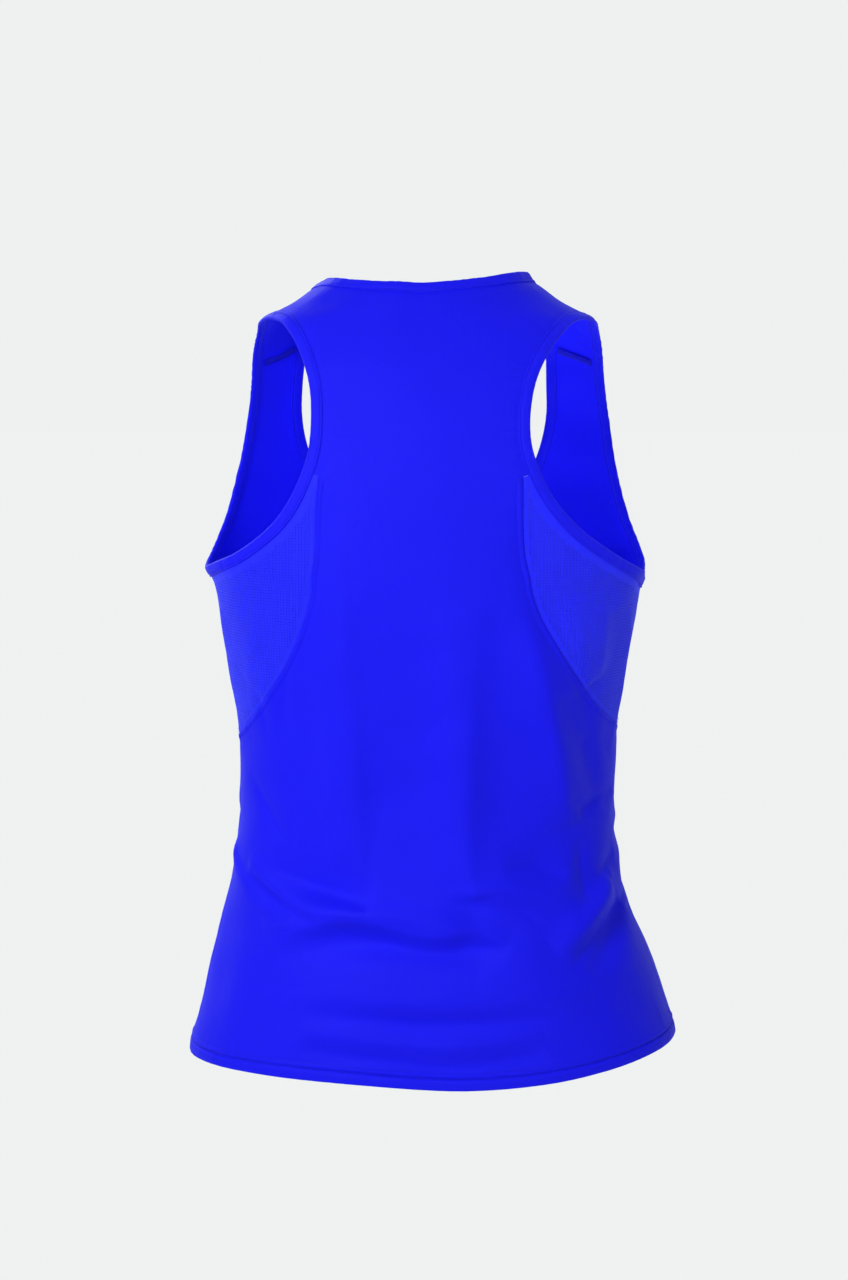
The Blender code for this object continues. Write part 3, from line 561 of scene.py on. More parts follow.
def addPuckers(total, spots, places, pucker):
    # small gathers that a sewn edge or seam pulls into the cloth beside it
    path = toChart(places)[::relief["edgeStep"]]
    length = np.linalg.norm(np.diff(path, axis=0), axis=1).sum()
    span = relief["span"]["pucker"] * pucker["reach"]
    chosen, (distance, part, _) = closeTo(spots, path, span)
    along = 2 * math.pi * part * max(1, round(length / pucker["length"]))
    # slower waves make their spacing and their strength uneven
    uneven = np.sin(along + 1.9 * np.sin(along / 5.2) + 0.9 * np.sin(along / 2.7 + 1))
    strength = 0.6 + 0.4 * np.sin(along / 7.3 + 2)
    level = pucker["size"] * uneven * strength
    total[chosen] += level * np.exp(-((distance / pucker["reach"]) ** 2))


def buildRelief(edges, seams):
    # the height of the cloth over the smooth form, on a grid over the chart
    columns = round(turnLength / relief["step"])
    across = np.arange(columns) * turnLength / columns
    low, high = (rise(height) for height in relief["heights"])
    low -= relief["margin"]
    up = np.arange(low, high + relief["margin"], relief["step"])
    spots = np.stack(np.meshgrid(across, up), axis=-1).reshape(-1, 2)
    total = np.zeros(len(spots))
    for row in ridgeRows:
        addRidge(total, spots, row)
    for row in foldRows:
        addFold(total, spots, row)
    random = np.random.default_rng(relief["seed"])
    addWaves(total, spots, *relief["swell"], random)
    addWaves(total, spots, *relief["crumple"], random)
    for name, loop in edges:
        addPuckers(total, spots, loop, puckers[name])
    for line in seams:
        addPuckers(total, spots, line, puckers["seam"])
    reliefGrid["levels"] = total.reshape(len(up), columns)
    reliefGrid["low"] = low


def readRelief(places):
    # smooth reading between the grid's points
    grid = reliefGrid["levels"]
    spots = toChart(places)
    column = spots[:, 0] / turnLength * grid.shape[1]
    row = (spots[:, 1] - reliefGrid["low"]) / relief["step"]
    firstColumn, firstRow = np.floor(column).astype(int), np.floor(row).astype(int)
    acrossShares, upShares = splineShares(column - firstColumn), splineShares(row - firstRow)
    total = np.zeros(len(places))
    for rowStep in range(4):
        rows = np.clip(firstRow + rowStep - 1, 0, grid.shape[0] - 1)
        for columnStep in range(4):
            columns = (firstColumn + columnStep - 1) % grid.shape[1]
            total += upShares[rowStep] * acrossShares[columnStep] * grid[rows, columns]
    return total


def splineShares(part):
    return (
        (-part + 2 * part**2 - part**3) / 2,
        (2 - 5 * part**2 + 3 * part**3) / 2,
        (part + 4 * part**2 - 3 * part**3) / 2,
        (-(part**2) + part**3) / 2,
    )


def cloth(places):
    # points of the cloth's outer face
    return form(places) + outward(form, places) * readRelief(places)[:, None]


wall = 0.0009  # the cloth's thickness

# Sewn edges and seams, and the gathers beside them
puckers = {
    "neck": {"size": 0.00022, "length": 0.0085, "reach": 0.017},
    "armhole": {"size": 0.00026, "length": 0.0078, "reach": 0.018},
    "hem": {"size": 0.00018, "length": 0.0110, "reach": 0.020},
    "seam": {"size": 0.00014, "length": 0.0090, "reach": 0.010},
}
# At an edge a row is a distance from it, how far the outer face stands off the cloth there, and
# the wall. Beside a seam a row is a distance and how far the outer face stands off.
boundProfile = (
    (0.0013, 0, wall),
    (0.0052, 0, wall),
    (0.0092, -0.00012, wall),
    (0.0101, -0.00025, wall),
    (0.0115, -0.00010, wall),
    (0.0134, 0, wall),
)
hemProfile = (
    (0.0000, -0.00140, 0.00040),
    (0.00035, -0.00105, 0.00100),
    (0.0009, -0.00080, 0.00135),
    (0.0022, -0.00050, 0.0017),
    (0.0040, -0.00020, 0.0019),
    (0.0058, -0.00002, 0.0020),
    (0.0072, -0.00004, 0.0020),
    (0.0082, -0.00050, 0.0016),
    (0.0091, -0.00105, 0.0011),
    (0.0098, -0.00050, 0.0016),
    (0.0107, 0.00028, 0.0020),
    (0.0118, 0.00056, 0.0022),
    (0.0128, 0.00016, 0.0020),
    (0.0134, -0.00006, 0.0017),
    (0.0141, -0.00004, 0.0010),
    (0.0156, 0.00004, wall),
    (0.0174, 0, wall),
)
seamDip = -0.0004
seamGap = 0.00006
gullyProfile = ((0.0008, -0.00012), (0.0020, 0))
raisedProfile = (
    (0.0005, 0.00012),
    (0.0011, 0.00048),
    (0.0023, 0.00056),
    (0.0034, 0.00050),
    (0.0039, 0.00022),
    (0.0044, -0.00012),
    (0.0053, -0.00008),
    (0.0068, 0),
)
meshProfile = ((0.0007, -0.00015), (0.0016, 0))
spacing = {
    "edge": 0.0026,
    "back": 0.0024,
    "front": 0.0030,
    "binding": 0.0022,
    "rowShare": 0.87,  # of the spacing, between staggered rows of points
    "edgeShare": 0.62,  # of the spacing, between an outline and the nearest point
}
seamRoom = {
    "clear": 0.0011,  # least distance from another side's rows
    "fade": 0.006,  # room over which a seam's form comes up to its height
    "ownShare": 0.9,  # least distance from its own seam, as a share of the row's distance
}
straightCosine = 0.98  # past it two neighbouring sides count as one straight line
sharpestCosine = 0.999


def rightPlace(angle, height):
    # the right half's place for one of the left half, in the worn pose
    nearness = max(angle, 0) / pose["reachAngle"]
    fade = np.interp(height, pose["reachHeights"], (0, 1))
    fade *= np.interp(angle, (pose["reachAngle"], pose["reachEnd"]), (1, 0))
    lift = np.interp(height, pose["liftHeights"], pose["lifts"])
    sideness = math.cos(math.radians(angle)) ** pose["liftFalloff"]
    return 180 - angle - pose["reach"] * nearness**3 * fade, height + lift * sideness


def neckPose(angle, height):
    tilt = pose["neckTilt"] * math.cos(math.radians(angle))
    tilt *= np.interp(height, pose["neckTiltHeights"], (0, 1))
    turn = pose["neckTurn"] * np.interp(height, pose["neckTurnHeights"], (1, 0))
    return angle + turn, height - tilt


def onSide(places, side):
    return list(places) if side == "left" else [rightPlace(*place) for place in places]


def marksOf(rows):
    return {row[0]: number * shape["curveSteps"] for number, row in enumerate(rows) if row[0]}


def placesOf(rows):
    return np.array([row[1:] for row in rows], float)


def withProfile(loop, distance, side, lift, thickness):
    moved = inset(loop, distance, side)
    return np.column_stack([moved, np.full(len(moved), lift), np.full(len(moved), thickness)])


def sewnEdge(loop, marks, profile, side):
    rows = [withProfile(loop, distance, side, lift, thickness)
            for distance, lift, thickness in profile]
    return {"loop": loop, "side": side, "rows": rows, "marks": marks, "reach": profile[-1][0]}


def neckLoop():
    # the whole neck edge, round from the right shoulder seam by the back
    left = placesOf(neckRows)
    right = left * (-1, 1) + (180, 0)
    shoulder = marksOf(neckRows)["shoulder"] // shape["curveSteps"]
    around = [*right[shoulder::-1], *left[1:], *(right[-2:shoulder - 1:-1] - (360, 0))]
    marks = {"right shoulder": 0, "left shoulder": 2 * shoulder * shape["curveSteps"]}
    return closedCurve([neckPose(*place) for place in around]), marks


def makeEdges():
    edges = {"neck": sewnEdge(*neckLoop(), boundProfile, 1)}
    for side, turn in (("left", 1), ("right", -1)):
        loop = closedCurve(onSide(placesOf(armholeRows + armholeRows[:1]), side))
        edges[side] = sewnEdge(loop, marksOf(armholeRows), boundProfile, turn)
    edges["hem"] = sewnEdge(closedCurve(placesOf(hemRows)), marksOf(hemRows), hemProfile, 1)
    return edges


def evenly(points, step, least=1):
    # positions evenly spaced in space along a row of points, as numbers of its points
    lengths = np.linalg.norm(np.diff(points, axis=0), axis=1)
    along = travelled(lengths)
    count = max(least, round(along[-1] / step))
    return np.interp(np.linspace(0, along[-1], count + 1), along, np.arange(len(points)))


def readRows(rows, numbers):
    # a table's rows at whole or part row numbers
    known = np.arange(len(rows))
    return np.stack([np.interp(numbers, known, column) for column in rows.T], axis=1)


def readAt(loop, numbers):
    # the same for a loop, where the numbers may run past its end
    count = len(loop) - 1
    turns = np.floor(numbers / count)
    read = readRows(loop, numbers - turns * count)
    read[:, 0] += turns * (loop[-1, 0] - loop[0, 0])
    return read


def stretch(edge, first, last):
    # an edge's rows from one mark forward to another, all with the same stations
    count = len(edge["loop"]) - 1
    start, stop = edge["marks"][first], edge["marks"][last]
    if stop <= start:
        stop += count
    middle = form(readAt(edge["rows"][len(edge["rows"]) // 2], np.arange(start, stop + 1)))
    stations = start + evenly(middle, spacing["edge"])
    return [readAt(row, stations) for row in edge["rows"]]


def nearestTurn(angle, target):
    return 360.0 * round((target - angle) / 360)


def rung(edge, mark, near):
    # the rows of an edge at a mark, from the edge inwards
    number = np.array([float(edge["marks"][mark])])
    rows = np.concatenate([readAt(row, number) for row in edge["rows"]])
    rows[:, 0] += nearestTurn(rows[0, 0], near)
    return rows


def plainCloth(places):
    # places with no lift and the cloth's own wall
    return np.column_stack([places, np.zeros(len(places)), np.full(len(places), wall)])


def seam(start, between, end):
    # a seam line through the rungs at its ends
    line = curve([start[-1, :2], *between, end[-1, :2]])
    line = plainCloth(readRows(line, evenly(form(line), spacing["edge"], least=2)))
    line[0], line[-1] = start[-1], end[-1]
    rows = np.concatenate([start[:-1], line, end[-2::-1]])
    rows[:, 2] += seamDip
    return rows


def makeSeams(edges):
    made = {}
    for side, middle in (("left", 0), ("right", 180)):
        meeting = np.array([[*onSide([seamRows["meeting"]], side)[0], 0, wall]])
        arm = {mark: rung(edges[side], mark, middle) for mark in ("shoulder", "mesh", "side")}
        neckRung = rung(edges["neck"], side + " shoulder", middle)
        hemRung = rung(edges["hem"], side + " side", middle)
        made[side] = {
            "shoulder": seam(neckRung, onSide(seamRows["shoulder"], side), arm["shoulder"]),
            "mesh": seam(arm["mesh"], onSide(seamRows["mesh"], side), meeting),
            "upper side": seam(arm["side"], [], meeting),
            "lower side": seam(meeting, onSide(seamRows["lower side"], side), hemRung),
        }
    return made


def alongSeam(line, profile=gullyProfile, backwards=False):
    rows = [line[::-1] if backwards else line]
    return {"rows": rows, "profile": profile, "reach": 0, "gap": seamGap}


def alongEdge(edge, first, last, backwards=False):
    rows = stretch(edge, first, last)
    if backwards:
        rows = [row[::-1] for row in rows]
    return {"rows": rows, "profile": (), "reach": edge["reach"], "gap": 0.0}


def backSides(seams, edges):
    left, right = seams["left"], seams["right"]
    return [
        alongEdge(edges["hem"], "left side", "right side"),
        alongSeam(right["lower side"], backwards=True),
        alongSeam(right["mesh"], raisedProfile, backwards=True),
        alongEdge(edges["right"], "shoulder", "mesh", backwards=True),
        alongSeam(right["shoulder"], backwards=True),
        alongEdge(edges["neck"], "right shoulder", "left shoulder"),
        alongSeam(left["shoulder"]),
        alongEdge(edges["left"], "shoulder", "mesh"),
        alongSeam(left["mesh"], raisedProfile),
        alongSeam(left["lower side"]),
    ]


def frontSides(seams, edges):
    left, right = seams["left"], seams["right"]
    return [
        alongEdge(edges["hem"], "right side", "left side"),
        alongSeam(left["lower side"], backwards=True),
        alongSeam(left["upper side"], backwards=True),
        alongEdge(edges["left"], "side", "shoulder"),
        alongSeam(left["shoulder"], backwards=True),
        alongEdge(edges["neck"], "left shoulder", "right shoulder"),
        alongSeam(right["shoulder"]),
        alongEdge(edges["right"], "side", "shoulder", backwards=True),
        alongSeam(right["upper side"]),
        alongSeam(right["lower side"]),
    ]


def meshSides(seams, edges, side):
    # anticlockwise round the panel, as for every panel
    if side == "left":
        return [
            alongSeam(seams["upper side"]),
            alongSeam(seams["mesh"], meshProfile, backwards=True),
            alongEdge(edges[side], "mesh", "side"),
        ]
    return [
        alongSeam(seams["mesh"], meshProfile),
        alongSeam(seams["upper side"], backwards=True),
        alongEdge(edges[side], "mesh", "side", backwards=True),
    ]


def joined(sides):
    # the same sides, each counted on the turn where the one before it ends
    end = sides[0]["rows"][0][0]
    for side in sides:
        move = np.array([nearestTurn(side["rows"][0][0, 0], end[0]), 0, 0, 0])
        side["rows"] = [row + move for row in side["rows"]]
        end = side["rows"][0][-1]
    return sides


def inwardWays(outline):
    points = form(outline)
    forward = unit(np.roll(points, -1, 0) - points)
    after = unit(np.cross(outward(form, outline), forward))
    return np.roll(after, 1, 0), after


def opened(outline, gaps):
    # moves an outline that runs anticlockwise round its cloth inwards by each side's gap
    before, after = inwardWays(outline)
    gapBefore, gapAfter = np.roll(gaps, 1), gaps
    dot = np.clip((before * after).sum(1), -sharpestCosine, sharpestCosine)
    straight = dot > straightCosine
    size = np.where(straight, 1.0, 1 - dot**2)
    first = np.where(straight, gapBefore / 2, (gapBefore - dot * gapAfter) / size)
    second = np.where(straight, gapAfter / 2, (gapAfter - dot * gapBefore) / size)
    moved = shifted(outline, first[:, None] * before + second[:, None] * after)
    return np.column_stack([moved, outline[:, 2:]])


def insideOutline(spots, outline, group=3000):
    ends = np.roll(outline, -1, 0)
    climb = np.where(ends[:, 1] == outline[:, 1], 1.0, ends[:, 1] - outline[:, 1])
    lean = (ends[:, 0] - outline[:, 0]) / climb
    found = []
    for first in range(0, len(spots), group):
        some = spots[first:first + group]
        crosses = (outline[:, 1] > some[:, None, 1]) != (ends[:, 1] > some[:, None, 1])
        reach = outline[:, 0] + (some[:, None, 1] - outline[:, 1]) * lean
        found.append((crosses & (some[:, None, 0] < reach)).sum(1) % 2 == 1)
    return np.concatenate(found)


def panelBorder(sides):
    # the outline and the rows beside it, with the lines that the cloth must keep between them
    outline, gaps, starts = [], [], []
    for side in joined(sides):
        starts.append(len(outline))
        outline.extend(side["rows"][0][:-1])
        gaps.extend([side["gap"]] * (len(side["rows"][0]) - 1))
    border = opened(np.array(outline), np.array(gaps))
    count = len(border)
    places = list(border)
    links = [(n, (n + 1) % count) for n in range(count)]
    inner = [[n] for n in range(count)]
    for side, start in zip(sides, starts):
        depth = len(side["rows"]) - 1
        if depth == 0:
            continue
        stop = start + len(side["rows"][0]) - 1
        chain = []
        for number, row in enumerate(side["rows"][1:], 1):
            fresh = list(range(len(places), len(places) + len(row) - 2))
            places.extend(row[1:-1])
            chain = [(start - number) % count, *fresh, (stop + number) % count]
            links += list(zip(chain, chain[1:]))
        for n in range(start - depth, stop + depth + 1):
            inner[n % count] = []
        inner[start % count] = chain
    ring = [n for spot in inner for n in spot]
    places = np.array(places)
    ringSpots = toChart(places[ring])
    extra = seamProfiles(sides, starts, border)
    return np.concatenate([places, *extra]), links, ringSpots, count


def seamProfiles(sides, starts, border):
    # rows beside the seams, left out where another side is close
    before, after = inwardWays(border)
    inward = unit(before + after)
    points = form(border)
    owner = np.zeros(len(border), int)
    for number, (side, start) in enumerate(zip(sides, starts)):
        owner[start:start + len(side["rows"][0]) - 1] = number
    reach = np.array([side["reach"] for side in sides])
    found = []
    for number, side in enumerate(sides):
        own = np.flatnonzero(owner == number)
        others = np.flatnonzero(owner != number)
        for distance, lift in side["profile"]:
            moved = shifted(border[own], inward[own] * distance)
            gaps = np.linalg.norm(form(moved)[:, None] - points[None, others], axis=2)
            needed = np.maximum(reach[owner[others]], distance) + seamRoom["clear"]
            clear = (gaps > needed).all(1)
            gapsOwn = np.linalg.norm(form(moved)[:, None] - points[None, own], axis=2)
            clear &= gapsOwn.min(1) > seamRoom["ownShare"] * distance
            room = (gaps - needed).min(1)[clear]
            near = np.clip(room / seamRoom["fade"], 0, 1)
            level = lift * near * near * (3 - 2 * near)
            found.append(np.column_stack([moved[clear], level, np.full(clear.sum(), wall)]))
    return found


def fillPlaces(ringSpots, taken, step):
    # staggered rows of places that fill a ring, clear of the places already taken
    low, high = ringSpots.min(0), ringSpots.max(0)
    filling = []
    for number, level in enumerate(np.arange(low[1], high[1], step * spacing["rowShare"])):
        height = float(heightAt(level))
        radius = (ringSize(height, "halfWidth") + ringSize(height, "back")) / 2
        gap = step * shape["chartRadius"] / radius
        count = math.ceil((high[0] - low[0]) / gap / 2) + 1
        across = (low[0] + high[0]) / 2 + gap * (np.arange(-count, count) + (number % 2) / 2)
        filling.append(np.column_stack([across, np.full(len(across), level)]))
    filling = np.concatenate(filling)
    filling = filling[insideOutline(filling, ringSpots)]
    places = fromChart(clearOf(filling, toChart(taken), spacing["edgeShare"] * step))
    return plainCloth(places)


def treeOf(spots):
    tree = KDTree(len(spots))
    for number, spot in enumerate(spots):
        tree.insert((*spot, 0), number)
    tree.balance()
    return tree


def clearOf(spots, taken, distance):
    tree = treeOf(taken)
    return np.array([spot for spot in spots if tree.find((*spot, 0))[2] > distance])


def triangulated(name, places, links, count):
    spots = toChart(places)
    # triangles within the points' hull, with the number of each point's source
    points, _, faces, origins, _, _ = delaunay_2d_cdt(
        [tuple(spot) for spot in spots], links, [], 0, shape["mergeDistance"], True)
    if len(points) != len(places):
        raise ValueError(name + ": the outline crosses itself")
    source = np.array([origin[0] for origin in origins])
    faces = source[np.array(faces)]
    return faces[insideOutline(spots[faces].mean(1), spots[:count])]


# lengths round each ring, for patterns that follow the cloth
centreBack, centreFront = 90, 270
ringTable = {"angles": np.arange(-360, 721, 1.0), "heights": np.linspace(-0.600, 0.034, 160)}
ringPlaces = np.stack(np.meshgrid(ringTable["angles"], ringTable["heights"]), -1).reshape(-1, 2)
ringPoints = form(ringPlaces).reshape(len(ringTable["heights"]), -1, 3)
ringSteps = np.linalg.norm(np.diff(ringPoints, axis=1), axis=2)
ringTable["lengths"] = np.concatenate([np.zeros((len(ringSteps), 1)), np.cumsum(ringSteps, 1)], 1)


def ringAt(height):
    level = np.interp(height, ringTable["heights"], np.arange(len(ringTable["heights"])))
    below = np.minimum(level.astype(int), len(ringTable["heights"]) - 2)
    part = (level - below)[:, None]
    return ringTable["lengths"][below] * (1 - part) + ringTable["lengths"][below + 1] * part


def clothUv(places, middle, group=4000):
    # metres round the ring from a middle angle, and metres up the profile
    uv = np.empty((len(places), 2))
    uv[:, 1] = rise(places[:, 1])
    for first in range(0, len(places), group):
        some = places[first:first + group]
        lengths = ringAt(some[:, 1])
        step = some[:, 0] - ringTable["angles"][0]
        below = np.floor(step).astype(int)
        rows = np.arange(len(some))
        here = lengths[rows, below]
        there = lengths[rows, below + 1]
        zero = lengths[rows, int(middle - ringTable["angles"][0])]
        uv[first:first + group, 0] = here + (there - here) * (step - below) - zero
    return uv


def linked(name, data):
    # a new object in the scene
    made = bpy.data.objects.new(name, data)
    bpy.context.scene.collection.objects.link(made)
    return made


def makeMesh(name, points, faces, uv, inner):
    # uv is for each point, or for each corner where there are more of them
    mesh = bpy.data.meshes.new(name)
    mesh.from_pydata(np.asarray(points).tolist(), [], [tuple(face) for face in faces])
    corners = np.empty(len(mesh.loops), np.int32)
    mesh.loops.foreach_get("vertex_index", corners)
    layer = mesh.uv_layers.new(name="clothUv")
    uv = uv if len(uv) == len(corners) != len(points) else uv[corners]
    layer.data.foreach_set("uv", np.asarray(uv, np.float32).ravel())
    attribute = mesh.attributes.new("inner", "FLOAT", "POINT")
    attribute.data.foreach_set("value", np.asarray(inner, np.float32))
    mesh.shade_smooth()
    return linked(name, mesh)


sharpAngles = {"panel": 65, "binding": 70}


def closePiece(piece, sharpAngle):
    # faces outward, and the cut edges stay crisp
    work = bmesh.new()
    work.from_mesh(piece.data)
    bmesh.ops.recalc_face_normals(work, faces=work.faces)
    if work.calc_volume(signed=True) < 0:
        bmesh.ops.reverse_faces(work, faces=work.faces)
    work.to_mesh(piece.data)
    work.free()
    piece.data.set_sharp_from_angle(angle=math.radians(sharpAngle))


def outerFace(places):
    return cloth(places) + outward(cloth, places) * places[:, 2:3]


def makePanel(name, sides, step, middle, material):
    places, links, ringSpots, count = panelBorder(sides)
    places = np.concatenate([places, fillPlaces(ringSpots, places, step)])
    faces = triangulated(name, places, links, count)
    normals = outward(cloth, places)
    outer = cloth(places) + normals * places[:, 2:3]
    inner = outer - normals * places[:, 3:4]
    total = len(places)
    solid = [*faces.tolist(), *(faces[:, ::-1] + total).tolist()]
    for n in range(count):
        following = (n + 1) % count
        solid.append((following, n, n + total, following + total))
    uv = clothUv(places, middle)
    flags = np.concatenate([np.zeros(total), np.ones(total)])
    piece = makeMesh(name, np.concatenate([outer, inner]), solid, np.concatenate([uv, uv]), flags)
    closePiece(piece, sharpAngles["panel"])
    piece.data.materials.append(material)
    print(name, "has", len(piece.data.polygons), "faces")
    return piece


# Eyelet mesh, knitted with small round holes in rows
eyelets = {
    "across": 0.00262,
    "up": 0.00212,
    "radius": 0.00055,
    "unevenness": 0.14,
    "seed": 5,
    "border": 0.0016,
    "thickness": 0.0007,
}


def eyeletCells(ringSpots, taken):
    # whole cells of the knit inside a ring: their places, and eight corners for each
    low, high = ringSpots.min(0), ringSpots.max(0)
    lowest = math.floor(low[1] / eyelets["up"]) * eyelets["up"]
    levels = np.arange(lowest, high[1] + eyelets["up"], eyelets["up"] / 2)
    lengths = ringAt(heightAt(levels))
    lengths -= lengths[:, [int(centreBack - ringTable["angles"][0])]]
    turns = np.degrees(np.array([low[0], high[0]]) / shape["chartRadius"])
    ends = np.array([np.interp(turns, ringTable["angles"], row) for row in lengths])
    first = math.floor(ends.min() / eyelets["across"])
    last = math.ceil(ends.max() / eyelets["across"])
    steps = np.arange(2 * first, 2 * last + 1)
    across = steps * eyelets["across"] / 2
    turned = [np.interp(across, row, ringTable["angles"]) for row in lengths]
    spots = np.stack([np.radians(turned) * shape["chartRadius"],
                      np.repeat(levels[:, None], len(steps), 1)], axis=-1)
    inside = insideOutline(spots.reshape(-1, 2), ringSpots).reshape(spots.shape[:2])
    close = treeOf(taken)
    around = ((0, 0), (0, 1), (0, 2), (1, 2), (2, 2), (2, 1), (2, 0), (1, 0))
    numbers, cells = {}, []
    for row in range(0, len(levels) - 2, 2):
        for column in range(0, len(steps) - 2, 2):
            corners = [(row + up, column + over) for up, over in around]
            if not all(inside[corner] for corner in corners):
                continue
            room = min(close.find((*spots[corner], 0))[2] for corner in corners)
            if room >= eyelets["border"] / 2:
                cells.append([numbers.setdefault(corner, len(numbers)) for corner in corners])
    return plainCloth(fromChart(np.array([spots[corner] for corner in numbers]))), cells


def makeMeshPanel(name, sides, material):
    places, links, ringSpots, count = panelBorder(sides)
    cellPlaces, cells = eyeletCells(ringSpots, toChart(places))
    first = len(places)
    places = np.concatenate([places, cellPlaces])
    cells = [[first + n for n in cell] for cell in cells]
    edges = {tuple(sorted(pair)) for cell in cells for pair in zip(cell, cell[1:] + cell[:1])}
    faces = triangulated(name, places, links + sorted(edges), count).tolist()
    faces = outsideCells(faces, cells, toChart(places)) + cells
    uv = clothUv(places, centreBack)
    piece = makeMesh(name, outerFace(places), faces, uv, np.zeros(len(places)))
    flag = piece.data.attributes.new("eyelet", "FLOAT", "FACE")
    flag.data.foreach_set("value", [0.0] * (len(faces) - len(cells)) + [1.0] * len(cells))
    addNodes(piece, eyeletTree(), Radius=eyelets["radius"], Unevenness=eyelets["unevenness"],
             Seed=eyelets["seed"], Material=material)
    thick = piece.modifiers.new("wall", "SOLIDIFY")
    thick.thickness = eyelets["thickness"]
    thick.offset = -1
    applied(piece)
    piece.data.set_sharp_from_angle(angle=math.radians(sharpAngles["panel"]))
    markInner(piece)
    print(name, "has", len(cells), "eyelets and", len(piece.data.polygons), "faces")
    return piece


def outsideCells(faces, cells, spots):
    # drops the triangles that the cells stand for
    holders = {}
    for number, cell in enumerate(cells):
        for n in cell:
            holders.setdefault(n, set()).add(number)
    kept = []
    for face in faces:
        shared = set.intersection(*(holders.get(n, set()) for n in face))
        centre = spots[face].mean(0)[None]
        if not any(insideOutline(centre, spots[cells[number]])[0] for number in shared):
            kept.append(face)
    return kept


def markInner(piece):
    # the wall's inner copy faces the middle of the body
    mesh = piece.data
    count = len(mesh.vertices)
    points, normals = np.empty(count * 3, np.float32), np.empty(count * 3, np.float32)
    mesh.vertices.foreach_get("co", points)
    mesh.vertices.foreach_get("normal", normals)
    points, normals = points.reshape(-1, 3), normals.reshape(-1, 3)
    facing = (points[:, :2] * normals[:, :2]).sum(1)
    attribute = mesh.attributes.get("inner")
    attribute.data.foreach_set("value", (facing < 0).astype(np.float32))


def newTree(name, inputs):
    tree = bpy.data.node_groups.new(name, "GeometryNodeTree")
    tree.interface.new_socket("Geometry", in_out="INPUT", socket_type="NodeSocketGeometry")
    for label, kind in inputs:
        tree.interface.new_socket(label, in_out="INPUT", socket_type="NodeSocket" + kind)
    tree.interface.new_socket("Geometry", in_out="OUTPUT", socket_type="NodeSocketGeometry")
    return tree, tree.nodes.new("NodeGroupInput"), tree.nodes.new("NodeGroupOutput")


def addNode(tree, kind, inputs=(), **settings):
    # inputs are pairs of a socket's name or number and a value or another node's socket
    made = tree.nodes.new(kind)
    for name, value in settings.items():
        setattr(made, name, value)
    for name, value in inputs:
        if isinstance(value, bpy.types.NodeSocket):
            tree.links.new(value, made.inputs[name])
        else:
            made.inputs[name].default_value = value
    return made


def mathNode(tree, operation, *values):
    return addNode(tree, "ShaderNodeMath", enumerate(values), operation=operation).outputs[0]


def vectorNode(tree, operation, *values):
    return addNode(tree, "ShaderNodeVectorMath", enumerate(values), operation=operation).outputs[0]


def scaled(tree, vector, share):
    return addNode(tree, "ShaderNodeVectorMath", [(0, vector), ("Scale", share)],
                   operation="SCALE").outputs[0]


def unevenly(tree, given, reach, number):
    # a different value for each number, up to the reach either way
    least = mathNode(tree, "MULTIPLY", given.outputs[reach], -1.0)
    return addNode(tree, "FunctionNodeRandomValue", [
        (2, least), (3, given.outputs[reach]), ("ID", number),
        ("Seed", given.outputs["Seed"])], data_type="FLOAT").outputs[1]


def finishTree(tree, given, result, geometry):
    real = addNode(tree, "GeometryNodeRealizeInstances", [("Geometry", geometry)])
    finished = addNode(tree, "GeometryNodeSetMaterial", [
        ("Geometry", real.outputs[0]), ("Material", given.outputs["Material"])])
    tree.links.new(finished.outputs[0], result.inputs[0])
    return tree


def eyeletTree():
    # opens a round hole in each cell of the knit
    if "eyeletKnit" in bpy.data.node_groups:
        return bpy.data.node_groups["eyeletKnit"]
    tree, given, result = newTree("eyeletKnit", (
        ("Radius", "Float"), ("Unevenness", "Float"), ("Seed", "Int"), ("Material", "Material")))
    position = addNode(tree, "GeometryNodeInputPosition").outputs[0]
    number = addNode(tree, "GeometryNodeInputIndex").outputs[0]
    centre = addNode(tree, "GeometryNodeCaptureAttribute", domain="FACE")
    centre.capture_items.new("VECTOR", "centre")
    tree.links.new(given.outputs["Geometry"], centre.inputs["Geometry"])
    tree.links.new(position, centre.inputs[1])
    flag = addNode(tree, "GeometryNodeInputNamedAttribute", [("Name", "eyelet")], data_type="FLOAT")
    extruded = addNode(tree, "GeometryNodeExtrudeMesh", [
        ("Mesh", centre.outputs["Geometry"]),
        ("Selection", mathNode(tree, "GREATER_THAN", flag.outputs[0], 0.5)),
        ("Offset Scale", 0.0), ("Individual", True)], mode="FACES")
    middle, top = centre.outputs[1], extruded.outputs["Top"]
    away = vectorNode(tree, "NORMALIZE", vectorNode(tree, "SUBTRACT", position, middle))
    share = mathNode(tree, "ADD", unevenly(tree, given, "Unevenness", number), 1.0)
    radius = mathNode(tree, "MULTIPLY", share, given.outputs["Radius"])
    spot = vectorNode(tree, "ADD", middle, scaled(tree, away, radius))
    # the points round each hole are marked for the painted shade round the eyelets
    rim = addNode(tree, "GeometryNodeStoreNamedAttribute", [
        ("Geometry", extruded.outputs["Mesh"]), ("Name", "rim"), ("Value", top)],
        data_type="FLOAT", domain="POINT")
    moved = addNode(tree, "GeometryNodeSetPosition", [
        ("Geometry", rim.outputs[0]), ("Selection", top), ("Position", spot)])
    holed = addNode(tree, "GeometryNodeDeleteGeometry", [
        ("Geometry", moved.outputs[0]), ("Selection", top)], domain="FACE")
    return finishTree(tree, given, result, holed.outputs[0])


def addNodes(piece, tree, **values):
    modifier = piece.modifiers.new(tree.name, "NODES")
    modifier.node_group = tree
    sockets = {item.name: item.identifier for item in tree.interface.items_tree
               if item.in_out == "INPUT"}
    for name, value in values.items():
        modifier[sockets[name]] = value


